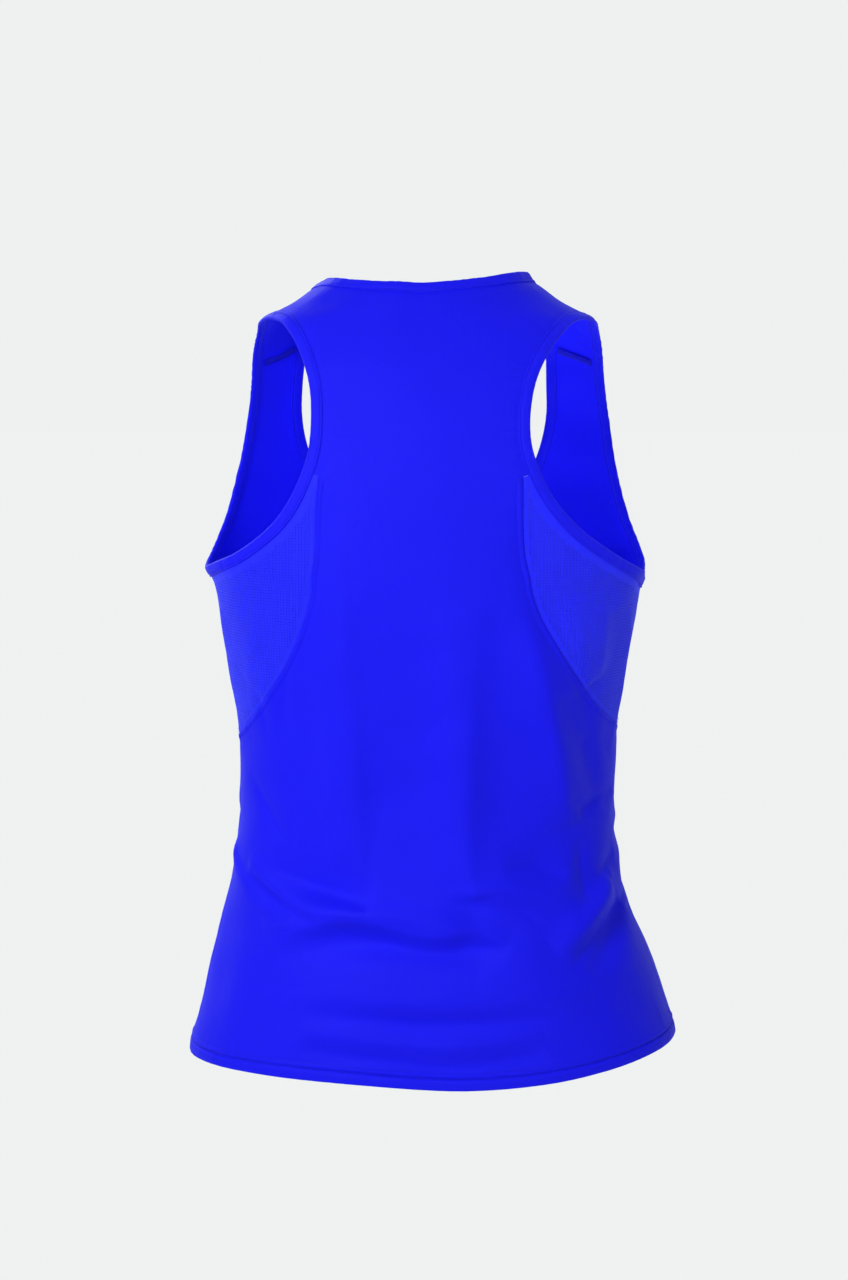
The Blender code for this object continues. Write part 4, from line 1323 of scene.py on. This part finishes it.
def applied(piece):
    # the evaluated mesh in place of the modifiers
    bpy.context.view_layer.update()
    evaluated = piece.evaluated_get(bpy.context.evaluated_depsgraph_get())
    mesh = bpy.data.meshes.new_from_object(evaluated)
    piece.modifiers.clear()
    old, piece.data = piece.data, mesh
    bpy.data.meshes.remove(old)
    mesh.name = piece.name


# Bindings: a strip folded over the cut edge. Each row is a distance in from the fold and a
# height over the cloth's outer face; the inner side mirrors the outer one.
bindingGroove = (0.00764, 0.00060)  # its stitches lie there
bindingRows = (
    (0.00918, 0.00012),
    (0.00926, 0.00042),
    (0.00910, 0.00076),
    (0.00872, 0.00094),
    (0.00828, 0.00092),
    (0.00792, 0.00074),
    bindingGroove,
    (0.00735, 0.00072),
    (0.00690, 0.00098),
    (0.00610, 0.00118),
    (0.00480, 0.00128),
    (0.00340, 0.00130),
    (0.00220, 0.00126),
    (0.00125, 0.00110),
    (0.00058, 0.00078),
    (0.00018, 0.00030),
    (0.00002, -0.00018),
)
binding = {
    "cut": 0.0013,  # the cloth's cut edge, in from the fold
    "width": 0.0092,
    "channel": 0.00008,  # between the strip and the cloth in it
    "channelEnd": 0.00916,
    "knots": (0.0039, 0.0065),  # distances where the cloth's own form is read, with cut and width
    "middle": 0.005,
    "ripple": 0.00012,
    "rippleLength": 0.0074,
}


def bindingSection():
    inner = [(inward, -wall - height) for inward, height in reversed(bindingRows)]
    channel = binding["channel"]
    back = [(binding["channelEnd"], -wall - channel), (binding["cut"] - channel, -wall - channel),
            (binding["cut"] - channel, channel)]
    return [*bindingRows, *inner, *back]


def edgePoints(edge, stations, distances):
    # for each distance in from the edge, the cloth's points, normals and places there
    found = []
    for distance in distances:
        loop = inset(edge["loop"], distance, edge["side"])
        places = readAt(loop, stations)
        found.append((cloth(places), outward(cloth, places), places))
    return found


def rippleAlong(along):
    # small waves in the strip, uneven in spacing and strength
    turns = max(1, round(along[-1] / binding["rippleLength"]))
    phase = 2 * math.pi * along[:-1] / along[-1] * turns
    strength = 0.6 + 0.4 * np.sin(phase / 9.1)
    return binding["ripple"] * np.sin(phase + 2.1 * np.sin(phase / 6.3)) * strength


def makeBinding(name, edge, material):
    middle = form(inset(edge["loop"], binding["middle"], edge["side"]))
    stations = evenly(middle, spacing["binding"])[:-1]
    section = bindingSection()
    knots = (binding["cut"], *binding["knots"], binding["width"])
    known = edgePoints(edge, stations, knots)
    foldLine, clothLine = known[0][0], known[1][0]
    away = unit(foldLine - clothLine)
    along = travelled(np.linalg.norm(np.diff(clothLine, axis=0, append=clothLine[:1]), axis=1))
    girth = travelled([math.dist(a, b) for a, b in zip(section, section[1:] + section[:1])])
    ripple = rippleAlong(along)
    rows = []
    for inward, height in section:
        inside = max(inward, binding["cut"])
        shares = [np.interp(inside, knots, own) for own in np.eye(len(knots))]
        point = sum(share * place[0] for share, place in zip(shares, known))
        normal = unit(sum(share * place[1] for share, place in zip(shares, known)))
        point = point + away * max(binding["cut"] - inward, 0)
        outside = 1 if height > 0 else (-1 if height < -wall else 0)
        swell = ripple * outside * np.sin(math.pi * min(inward / binding["width"], 1)) ** 0.5
        rows.append(point + normal * (height + swell)[:, None])
    count, width = len(stations), len(section)
    points = np.stack(rows, axis=1).reshape(-1, 3)
    faces, uv = [], []
    for station in range(count):
        here, there = station * width, (station + 1) % count * width
        for n in range(width):
            following = (n + 1) % width
            faces.append((here + n, here + following, there + following, there + n))
            uv += [(along[station], girth[n]), (along[station], girth[n + 1]),
                   (along[station + 1], girth[n + 1]), (along[station + 1], girth[n])]
    flags = np.tile([1.0 if height < -wall / 2 else 0.0 for _, height in section], count)
    piece = makeMesh(name, points, faces, np.array(uv), flags)
    closePiece(piece, sharpAngles["binding"])
    piece.data.materials.append(material)
    print(name, "has", len(faces), "faces")
    return piece


# Seam allowances: the two cut edges, overlocked together and pressed to one side inside
allowance = {
    "width": 0.0058,
    "thickness": 0.0010,
    "clear": 0.00008,
    "waver": 0.0003,
    "waverLengths": (0.0061, 0.019),
    # round its section, shares of the width and of the thickness
    "section": ((-0.03, 0), (0.33, 0), (0.66, 0), (0.97, 0.1), (1.0, 0.5), (0.96, 0.92),
                (0.66, 1), (0.33, 1.05), (0.05, 0.95), (-0.04, 0.5)),
    "threadShare": 1.02,  # of the thickness, where the overlocking lies
    # points left out at the two ends of each seam
    "trims": {"shoulder": (4, -4), "mesh": (5, -1), "upper side": (5, -1), "lower side": (1, -14)},
}


def leftOf(line, way):
    # a line's points on the form, and directions to its left, or to its right for way -1
    points = form(line)
    forward = unit(np.gradient(points, axis=0))
    return points, unit(np.cross(outward(form, line), forward)) * way


def makeAllowance(name, line, way, material):
    places = readRows(line, evenly(form(line), spacing["edge"]))
    points, left = leftOf(places, way)
    along = travelled(np.linalg.norm(np.diff(points, axis=0), axis=1))
    quick, slow = allowance["waverLengths"]
    waver = np.sin(along / quick + 2 * np.sin(along / slow))
    width = allowance["width"] + allowance["waver"] * waver
    clear, thick, section = allowance["clear"], allowance["thickness"], allowance["section"]
    rows = []
    for share, depth in section:
        moved = shifted(places, left * (share * width)[:, None])
        rows.append(cloth(moved) - outward(cloth, moved) * (wall + (clear + depth * thick)))
    count, size = len(places), len(section)
    points = np.stack(rows, axis=1).reshape(-1, 3)
    faces = [tuple(range(size)), tuple(range((count - 1) * size, count * size))]
    for station in range(count - 1):
        here, there = station * size, (station + 1) * size
        for n in range(size):
            following = (n + 1) % size
            faces.append((here + n, here + following, there + following, there + n))
    across = [share * allowance["width"] for share, _ in section]
    uv = np.stack([np.repeat(along, size), np.tile(across, count)], 1)
    piece = makeMesh(name, points, faces, uv, np.ones(len(points)))
    closePiece(piece, sharpAngles["panel"])
    piece.data.materials.append(material)
    middle = shifted(places, left * (0.5 * width)[:, None])
    normals = outward(cloth, middle)
    depth = wall + clear + allowance["threadShare"] * thick
    return piece, (cloth(middle) - normals * depth, -normals)


# Stitches along a line, one small bead of thread each
stitches = {
    "binding": {"Pitch": 0.0025, "Length": 0.0017, "Width": 0.00042, "Height": 0.00034,
                "Slant": 0.0, "Jitter": 0.05},
    "needle": {"Pitch": 0.0027, "Length": 0.0019, "Width": 0.00040, "Height": 0.00032,
               "Slant": 0.0, "Jitter": 0.05},
    "groove": {"Pitch": 0.0016, "Length": 0.0019, "Width": 0.00042, "Height": 0.00036,
               "Slant": 0.62, "Jitter": 0.10},
    "cover": {"Pitch": 0.0017, "Length": 0.0048, "Width": 0.00042, "Height": 0.00036,
              "Slant": 1.05, "Jitter": 0.08},
    "overlock": {"Pitch": 0.0015, "Length": 0.0056, "Width": 0.00046, "Height": 0.00040,
                 "Slant": 1.28, "Jitter": 0.10},
}
stitchBead = {"Segments": 6, "Rings": 4, "Radius": 0.5}  # one unit across, before it is scaled
# how far the middle of a thread lies over the cloth
threadLift = {"binding": 0.00008, "hem": 0.00006, "seam": 0.00005}
# Rows of stitches: distances from the finished edge or the seam, and at the hem the cloth's lift
# outside and its thickness inside
hemRowsOutside = (("groove", 0.0091, -0.00072), ("needle", 0.01345, -0.00008))
hemRowInside = ("cover", 0.0128, 0.0019)
seamRowDistances = (0.0010, 0.0036)
seamRowTrim = (8, -2)  # points left out at its two ends


def stitchTree():
    # beads of thread along an edge line, lying on the surface that its "outward" says
    if "stitchRow" in bpy.data.node_groups:
        return bpy.data.node_groups["stitchRow"]
    tree, given, result = newTree("stitchRow", (
        ("Pitch", "Float"), ("Length", "Float"), ("Width", "Float"), ("Height", "Float"),
        ("Slant", "Float"), ("Jitter", "Float"), ("Seed", "Int"), ("Material", "Material")))
    line = addNode(tree, "GeometryNodeMeshToCurve", [("Mesh", given.outputs["Geometry"])])
    line = addNode(tree, "GeometryNodeResampleCurve", [
        ("Curve", line.outputs[0]), ("Length", given.outputs["Pitch"])], mode="LENGTH")
    bead = addNode(tree, "GeometryNodeMeshUVSphere", stitchBead.items())
    bead = addNode(tree, "GeometryNodeSetShadeSmooth", [("Geometry", bead.outputs[0])])
    size = addNode(tree, "ShaderNodeCombineXYZ", [
        (0, given.outputs["Length"]), (1, given.outputs["Width"]), (2, given.outputs["Height"])])
    bead = addNode(tree, "GeometryNodeTransform", [
        ("Geometry", bead.outputs[0]), ("Scale", size.outputs[0])])
    tangent = addNode(tree, "GeometryNodeInputTangent").outputs[0]
    out = addNode(tree, "GeometryNodeInputNamedAttribute", [("Name", "outward")],
                  data_type="FLOAT_VECTOR")
    laid = addNode(tree, "FunctionNodeAxesToRotation", [
        (0, out.outputs[0]), (1, tangent)], primary_axis="Z", secondary_axis="X")
    number = addNode(tree, "GeometryNodeInputIndex").outputs[0]
    sign = mathNode(tree, "MULTIPLY_ADD", mathNode(tree, "MODULO", number, 2.0), 2.0, -1.0)
    slant = mathNode(tree, "MULTIPLY", sign, given.outputs["Slant"])
    change = unevenly(tree, given, "Jitter", number)
    spin = addNode(tree, "FunctionNodeAxisAngleToRotation", [
        ("Axis", (0.0, 0.0, 1.0)), ("Angle", mathNode(tree, "ADD", slant, change))])
    rotation = addNode(tree, "FunctionNodeRotateRotation", [
        (0, laid.outputs[0]), (1, spin.outputs[0])], rotation_space="LOCAL")
    placed = addNode(tree, "GeometryNodeInstanceOnPoints", [
        ("Points", line.outputs[0]), ("Instance", bead.outputs[0]),
        ("Rotation", rotation.outputs[0]), ("Scale", mathNode(tree, "ADD", change, 1.0))])
    return finishTree(tree, given, result, placed.outputs[0])


def makeStitches(name, rows, material):
    # rows of (kind, points, outward vectors, whether the line is closed), joined in one mesh
    made = []
    for number, (kind, points, normals, closed) in enumerate(rows):
        count = len(points)
        links = [(n, n + 1) for n in range(count - 1)] + ([(count - 1, 0)] if closed else [])
        mesh = bpy.data.meshes.new(name)
        mesh.from_pydata(points.tolist(), links, [])
        attribute = mesh.attributes.new("outward", "FLOAT_VECTOR", "POINT")
        attribute.data.foreach_set("vector", np.asarray(normals, np.float32).ravel())
        piece = linked(name, mesh)
        addNodes(piece, stitchTree(), Seed=number + 1, Material=material, **stitches[kind])
        applied(piece)
        made.append(piece)
    whole = made[0]
    if len(made) > 1:
        with bpy.context.temp_override(active_object=whole, selected_editable_objects=made):
            bpy.ops.object.join()
    whole.name = name
    whole.data.name = name
    print(name, "has", len(whole.data.polygons), "faces")
    return whole


def bindingStitches(edge):
    # one row each side, in the groove near the binding's inner edge
    distance, height = bindingGroove
    stations = np.arange(0, len(edge["loop"]) - 1, 2.0)
    (points, normals, _), = edgePoints(edge, stations, [distance])
    lift = height + threadLift["binding"]
    return [("binding", points + normals * lift, normals, True),
            ("binding", points - normals * (wall + lift), -normals, True)]


def hemStitches(edge):
    stations = np.arange(0, len(edge["loop"]) - 1, 1.0)
    rows = []
    for kind, distance, lift in hemRowsOutside:
        (points, normals, _), = edgePoints(edge, stations, [distance])
        rows.append((kind, points + normals * (lift + threadLift["hem"]), normals, True))
    kind, distance, thickness = hemRowInside
    (points, normals, _), = edgePoints(edge, stations, [distance])
    rows.append((kind, points - normals * (thickness + threadLift["hem"]), -normals, True))
    return rows


def seamStitches(line, profile, way):
    # needle rows beside a seam, on the outside
    first, last = seamRowTrim
    inside = line[first:last]
    _, left = leftOf(inside, way)
    known = np.array([(0, seamDip), *profile])
    rows = []
    for distance in seamRowDistances:
        moved = shifted(inside, left * distance)
        lift = np.interp(distance, known[:, 0], known[:, 1]) + threadLift["seam"]
        normals = outward(cloth, moved)
        rows.append(("needle", cloth(moved) + normals * lift, normals, False))
    return rows


# Finishes. Each has a clear and a deep colour, its inner side's brightness, the spacing of its
# knit, its roughness, its bump and its sheen, as a weight and a roughness. The main knit's inner
# side is painted lighter than its outside, painted light in the hollow; the mesh has painted
# shade round its eyelets' rims.
finishes = {
    # the main knit's inside of 1.17 is painted light: its inner side is lighter than its outside
    "main": {"colour": (0.0071, 0.0074, 0.815), "deep": (0.0066, 0.0067, 0.790), "inside": 1.17,
             "wale": 0.00095, "course": 0.00075, "roughness": 0.62, "bump": 0.35,
             "sheen": (0.12, 0.45)},
    # the mesh's last value is the painted shade round its eyelets
    "mesh": {"colour": (0.0160, 0.0210, 0.99), "deep": (0.0120, 0.0150, 0.91), "inside": 0.98,
             "wale": eyelets["across"], "course": eyelets["up"], "roughness": 0.60, "bump": 0.30,
             "sheen": (0.4, 0.6), "rim": 0.20},
    "binding": {"colour": (0.0078, 0.0083, 0.85), "deep": (0.0068, 0.0070, 0.80), "inside": 1.0,
                "wale": 0.00080, "course": 0.00110, "roughness": 0.58, "bump": 0.35,
                "sheen": (0.12, 0.45)},
    # the shoulder allowance: darker blue for its denser overlocked layers, and painted shade for
    # the dark band along the shoulder seam inside
    "denseShadedShoulder": {"colour": (0.0068, 0.0072, 0.61), "deep": (0.0058, 0.0062, 0.53), "inside": 1.0,
             "wale": 0.00080, "course": 0.00110, "roughness": 0.62, "bump": 0.30,
             "sheen": (0.12, 0.45)},
    "thread": {"colour": (0.0080, 0.0085, 0.62), "deep": (0.0060, 0.0060, 0.50),
               "roughness": 0.55, "bump": 0.15},
    "overlock": {"colour": (0.0070, 0.0072, 0.52), "deep": (0.0050, 0.0050, 0.42),
                 "roughness": 0.65, "bump": 0.15},
}
# the knit and the thread as they look from close by
knit = {
    "grain": {"across": 900.0, "along": 55.0, "detail": 3.0, "roughness": 0.6, "share": 0.65},
    "cloud": {"scale": 9.0, "detail": 2.0, "share": 0.35},
    "tones": (0.32, 0.68),  # of the grain, past which a colour is pure
    "chevron": 2.6,  # how far a course of loops leans within a wale
    "twill": {"width": 0.0018, "lean": 0.8, "depth": 0.09},  # on the inner side
    "roughnessSwing": 0.12,
    "grainBump": 0.8,
    "bumpDepth": 0.00012,
    "specular": 0.09,
    "sheenTint": (0.12, 0.16, 1.0, 1.0),
}
spun = {
    "tones": {"scale": 420.0, "detail": 2.0},
    "strands": {"scale": 5200.0, "detail": 1.0},
    "roughnessSwing": 0.1,
    "bumpDepth": 0.0001,
    "specular": 0.2,
}


def newMaterial(name, colour):
    made = bpy.data.materials.new(name)
    made.use_nodes = True
    made.diffuse_color = (*colour, 1)
    return made, made.node_tree, made.node_tree.nodes["Principled BSDF"]


def noise(tree, place, scale, detail, roughness=0.5):
    return addNode(tree, "ShaderNodeTexNoise", [
        ("Vector", place), ("Scale", scale), ("Detail", detail),
        ("Roughness", roughness)]).outputs[0]


def mixed(tree, share, first, second):
    # each colour is three numbers or another node's socket
    first, second = (colour if isinstance(colour, bpy.types.NodeSocket) else (*colour, 1)
                     for colour in (first, second))
    return addNode(tree, "ShaderNodeMix", [(0, share), (6, first), (7, second)],
                   data_type="RGBA").outputs[2]


def addBump(tree, shader, strength, depth, height):
    bump = addNode(tree, "ShaderNodeBump", [
        ("Strength", strength), ("Distance", depth), ("Height", height)])
    tree.links.new(bump.outputs[0], shader.inputs["Normal"])


def knitHeight(tree, across, up, look):
    # ribs of knit loops: upright wales crossed by chevron courses
    wale, course = look["wale"], look["course"]
    rib = mathNode(tree, "SINE", mathNode(tree, "MULTIPLY", across, 2 * math.pi / wale))
    halfWave = mathNode(tree, "SINE", mathNode(tree, "MULTIPLY", across, math.pi / wale))
    lean = mathNode(tree, "MULTIPLY", mathNode(tree, "ABSOLUTE", halfWave), knit["chevron"])
    climb = mathNode(tree, "MULTIPLY", up, 2 * math.pi / course)
    loops = mathNode(tree, "SINE", mathNode(tree, "ADD", climb, lean))
    return mathNode(tree, "MULTIPLY", mathNode(tree, "ADD", rib, loops), 0.5)


def rimShaded(tree, depth, colour):
    # painted shade round each eyelet: the points at the holes' edges darken the colour
    near = addNode(tree, "ShaderNodeAttribute", attribute_name="rim").outputs["Fac"]
    return scaled(tree, colour, mathNode(tree, "MULTIPLY_ADD", near, -depth, 1.0))


def twilled(tree, across, up, brightness, colour):
    # the inner side's fine diagonal ribs, on the inner side's own share, which for the main knit is
    # painted light
    twill = knit["twill"]
    diagonal = mathNode(tree, "ADD", mathNode(tree, "MULTIPLY", across, twill["lean"]), up)
    turn = mathNode(tree, "MULTIPLY", diagonal, 2 * math.pi / twill["width"])
    wave = mathNode(tree, "SINE", turn)
    return scaled(tree, colour, mathNode(tree, "MULTIPLY_ADD", wave, twill["depth"], brightness))


def fabric(name, look):
    # knit cloth: a soft two-tone grain, a twilled inner side, and a bump of loops
    made, tree, shader = newMaterial(name, look["colour"])
    uv = addNode(tree, "ShaderNodeUVMap", uv_map="clothUv").outputs[0]
    parts = addNode(tree, "ShaderNodeSeparateXYZ", [(0, uv)])
    across, up = parts.outputs[0], parts.outputs[1]
    fine, cloudy = knit["grain"], knit["cloud"]
    grainPlace = addNode(tree, "ShaderNodeCombineXYZ", [
        (0, mathNode(tree, "MULTIPLY", across, fine["across"])),
        (1, mathNode(tree, "MULTIPLY", up, fine["along"]))]).outputs[0]
    grain = noise(tree, grainPlace, 1.0, fine["detail"], fine["roughness"])
    onBody = addNode(tree, "ShaderNodeTexCoord").outputs["Object"]
    cloud = noise(tree, onBody, cloudy["scale"], cloudy["detail"])
    both = mathNode(tree, "ADD", mathNode(tree, "MULTIPLY", grain, fine["share"]),
                    mathNode(tree, "MULTIPLY", cloud, cloudy["share"]))
    low, high = knit["tones"]
    tone = addNode(tree, "ShaderNodeMapRange", [
        (0, both), (1, low), (2, high), (3, 0.0), (4, 1.0)]).outputs[0]
    outer = mixed(tree, tone, look["deep"], look["colour"])
    side = addNode(tree, "ShaderNodeAttribute", attribute_name="inner").outputs["Fac"]
    # the inner side: twill ribs, lighter for the main knit by painted light
    colour = mixed(tree, side, outer, twilled(tree, across, up, look["inside"], outer))
    # painted shade round the eyelets
    if "rim" in look:
        colour = rimShaded(tree, look["rim"], colour)
    tree.links.new(colour, shader.inputs["Base Color"])
    swing = knit["roughnessSwing"]
    rough = mathNode(tree, "MULTIPLY_ADD", grain, swing, look["roughness"] - swing / 2)
    tree.links.new(rough, shader.inputs["Roughness"])
    height = mathNode(tree, "ADD", knitHeight(tree, across, up, look),
                      mathNode(tree, "MULTIPLY", grain, knit["grainBump"]))
    addBump(tree, shader, look["bump"], knit["bumpDepth"], height)
    weight, spread = look["sheen"]
    shader.inputs["Specular IOR Level"].default_value = knit["specular"]
    shader.inputs["Sheen Weight"].default_value = weight
    shader.inputs["Sheen Roughness"].default_value = spread
    shader.inputs["Sheen Tint"].default_value = knit["sheenTint"]
    return made


def threadFinish(name, look):
    # spun thread: fine strands and small changes of tone from stitch to stitch
    made, tree, shader = newMaterial(name, look["colour"])
    onBody = addNode(tree, "ShaderNodeTexCoord").outputs["Object"]
    tones = noise(tree, onBody, spun["tones"]["scale"], spun["tones"]["detail"])
    colour = mixed(tree, tones, look["deep"], look["colour"])
    tree.links.new(colour, shader.inputs["Base Color"])
    strands = noise(tree, onBody, spun["strands"]["scale"], spun["strands"]["detail"])
    addBump(tree, shader, look["bump"], spun["bumpDepth"], strands)
    rough = mathNode(tree, "MULTIPLY_ADD", tones, spun["roughnessSwing"], look["roughness"])
    tree.links.new(rough, shader.inputs["Roughness"])
    shader.inputs["Specular IOR Level"].default_value = spun["specular"]
    return made


# Studio: surroundings that go from pale to shade, and soft lights. The key and the fill light the
# back, the bounce the inside, the side light the right side, and the front key the front.
studio = {
    "pale": (0.855, 0.879, 0.871),
    "shade": (0.22, 0.227, 0.224),
    "way": (0, 0.85, 0.5),
    "turnover": (-0.55, 0.75),  # along the way, from the pale side to the other
    "floor": {"height": -1.35, "radius": 26, "corners": 64, "colour": (0.03, 0.03, 0.03),
              "glow": 0.99, "scale": 0.25},
    "lights": {
        "key": {"place": (1.13, 1.93, 0.73), "aim": (0.03, 0.1, -0.36), "size": 0.8,
                "spread": 60, "power": 5.15},
        "fill": {"place": (-0.30, 2.88, -0.17), "aim": (0.0, 0.0, -0.27), "size": 1.2,
                 "spread": 180, "power": 15},
        "bounce": {"place": (0.05, 0.02, -1.2), "aim": (-0.1, -0.1, -0.24), "size": 0.2,
                   "spread": 18, "power": 0.12},
        "side": {"place": (-1.98, 1.51, 1.0), "aim": (-0.17, 0.0, -0.1), "size": 0.35,
                 "spread": 10, "power": 0.055},
        "frontKey": {"place": (1.5, -2.4, 0.9), "aim": (0.0, -0.1, -0.30), "size": 0.9,
                     "spread": 90, "power": 8},
    },
}
cameraSetup = {"elevation": 7, "distance": 2.2, "target": (0.0031, 0, -0.262), "lens": 79.31,
               "sensor": 36}


def areaLight(name, look):
    light = bpy.data.lights.new(name, "AREA")
    light.shape = "DISK"
    light.size = look["size"]
    light.spread = math.radians(look["spread"])
    light.energy = look["power"]
    made = linked(name, light)
    made.location = look["place"]
    way = Vector(look["place"]) - Vector(look["aim"])
    made.rotation_euler = way.to_track_quat("Z", "Y").to_euler()


def paleGradient(tree, place):
    along = addNode(tree, "ShaderNodeVectorMath", [(0, place), (1, studio["way"])],
                    operation="DOT_PRODUCT").outputs["Value"]
    first, last = studio["turnover"]
    share = addNode(tree, "ShaderNodeMapRange", [
        (0, along), (1, first), (2, last), (3, 0.0), (4, 1.0)],
        interpolation_type="SMOOTHSTEP").outputs[0]
    return mixed(tree, share, studio["pale"], studio["shade"])


def makeSurroundings():
    world = bpy.data.worlds.new("studio")
    world.use_nodes = True
    tree = world.node_tree
    coords = addNode(tree, "ShaderNodeTexCoord")
    tree.links.new(paleGradient(tree, coords.outputs["Generated"]),
                   tree.nodes["Background"].inputs["Color"])
    bpy.context.scene.world = world


def makeFloor(look):
    mesh = bpy.data.meshes.new("floor")
    turns = [2 * math.pi * n / look["corners"] for n in range(look["corners"])]
    corners = [(look["radius"] * math.cos(turn), look["radius"] * math.sin(turn), look["height"])
               for turn in turns]
    mesh.from_pydata(corners, [], [tuple(range(len(corners)))])
    paint, tree, shader = newMaterial("floorPaint", studio["pale"])
    coords = addNode(tree, "ShaderNodeTexCoord")
    place = scaled(tree, coords.outputs["Object"], look["scale"])
    tree.links.new(paleGradient(tree, place), shader.inputs["Emission Color"])
    shader.inputs["Base Color"].default_value = (*look["colour"], 1)
    shader.inputs["Emission Strength"].default_value = look["glow"]
    shader.inputs["Roughness"].default_value = 1
    shader.inputs["Specular IOR Level"].default_value = 0
    mesh.materials.append(paint)
    linked("floor", mesh)


def makeCamera():
    camera = linked("camera", bpy.data.cameras.new("camera"))
    camera.data.lens = cameraSetup["lens"]
    camera.data.sensor_width = cameraSetup["sensor"]
    tilt = math.radians(cameraSetup["elevation"])
    away = Vector((0, math.cos(tilt), math.sin(tilt))) * cameraSetup["distance"]
    camera.location = Vector(cameraSetup["target"]) + away
    camera.rotation_euler = (math.radians(90) - tilt, 0, math.radians(180))
    bpy.context.scene.camera = camera


def makeStudio():
    makeSurroundings()
    makeFloor(studio["floor"])
    for name, look in studio["lights"].items():
        areaLight(name, look)
    makeCamera()
    bpy.context.scene.view_settings.view_transform = "Standard"
    print("studio and camera are in place")


def hang(piece, slot, *nodes):
    # every piece belongs to the one body, and some stand for CAD nodes
    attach(piece, "root")
    if nodes:
        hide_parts(*nodes)
    return piece


def makeCloths():
    cloths = {name: fabric(title, finishes[name]) for name, title in (
        ("main", "mainKnit"), ("mesh", "eyeletMesh"), ("binding", "bindingKnit"),
        ("denseShadedShoulder", "denseShadedShoulderKnit"))}
    for name, title in (("thread", "sewingThread"), ("overlock", "overlockThread")):
        cloths[name] = threadFinish(title, finishes[name])
    return cloths


def makeSide(side, way, seams, edges, cloths):
    # a mesh panel, with the stitches and the allowances of its side that lie on other pieces
    panel = makeMeshPanel("mesh_" + side, meshSides(seams, edges, side), cloths["mesh"])
    hang(panel, "eyelet_mesh", "mesh_panel_" + side)
    rows = seamStitches(seams["mesh"], raisedProfile, -way)
    stitched = hang(makeStitches("mesh_seam_stitches_" + side, rows, cloths["thread"]), "main_knit")
    strips, threads = {}, []
    for name, (first, last) in allowance["trims"].items():
        # the shoulder allowance takes the darker finish, partly painted shade
        strip, (points, normals) = makeAllowance(
            name.replace(" ", "_") + "_allowance_" + side, seams[name][first:last], -way,
            cloths["denseShadedShoulder" if name == "shoulder" else "main"])
        strips[name] = hang(strip, "main_knit")
        threads.append(("overlock", points, normals, False))
    overlocked = hang(makeStitches("overlock_" + side, threads, cloths["overlock"]), "main_knit")
    return {"back": [stitched, strips["mesh"], strips["lower side"]],
            "front": [strips["shoulder"], overlocked]}


def makeBound(name, node, edge, cloths):
    strip = hang(makeBinding("binding_" + name, edge, cloths["binding"]), "binding_knit", node)
    rows = makeStitches("binding_stitches_" + name, bindingStitches(edge), cloths["thread"])
    hang(rows, "binding_knit")


def main():
    makeStudio()
    edges = makeEdges()
    seams = makeSeams(edges)
    pulled = [(kind, edges[name]["loop"]) for kind, name in (
        ("neck", "neck"), ("armhole", "left"), ("armhole", "right"), ("hem", "hem"))]
    buildRelief(pulled, [seams[side][name] for side in ("left", "right")
                         for name in ("mesh", "upper side", "lower side")])
    print("creases are worked out")
    cloths = makeCloths()

    knitted = cloths["main"]
    back = makePanel("back", backSides(seams, edges), spacing["back"], centreBack, knitted)
    front = makePanel("front", frontSides(seams, edges), spacing["front"], centreFront, knitted)
    hang(back, "main_knit", "back_panel")
    hang(front, "main_knit", "front_panel")
    left = makeSide("left", 1, seams["left"], edges, cloths)
    right = makeSide("right", -1, seams["right"], edges, cloths)
    for name, node in (("neck", "neck_binding"), ("left", "armhole_binding_left"),
                       ("right", "armhole_binding_right")):
        makeBound(name, node, edges[name], cloths)

    hem = makeStitches("hem_stitches", hemStitches(edges["hem"]), cloths["thread"])
    hang(hem, "main_knit")


main()
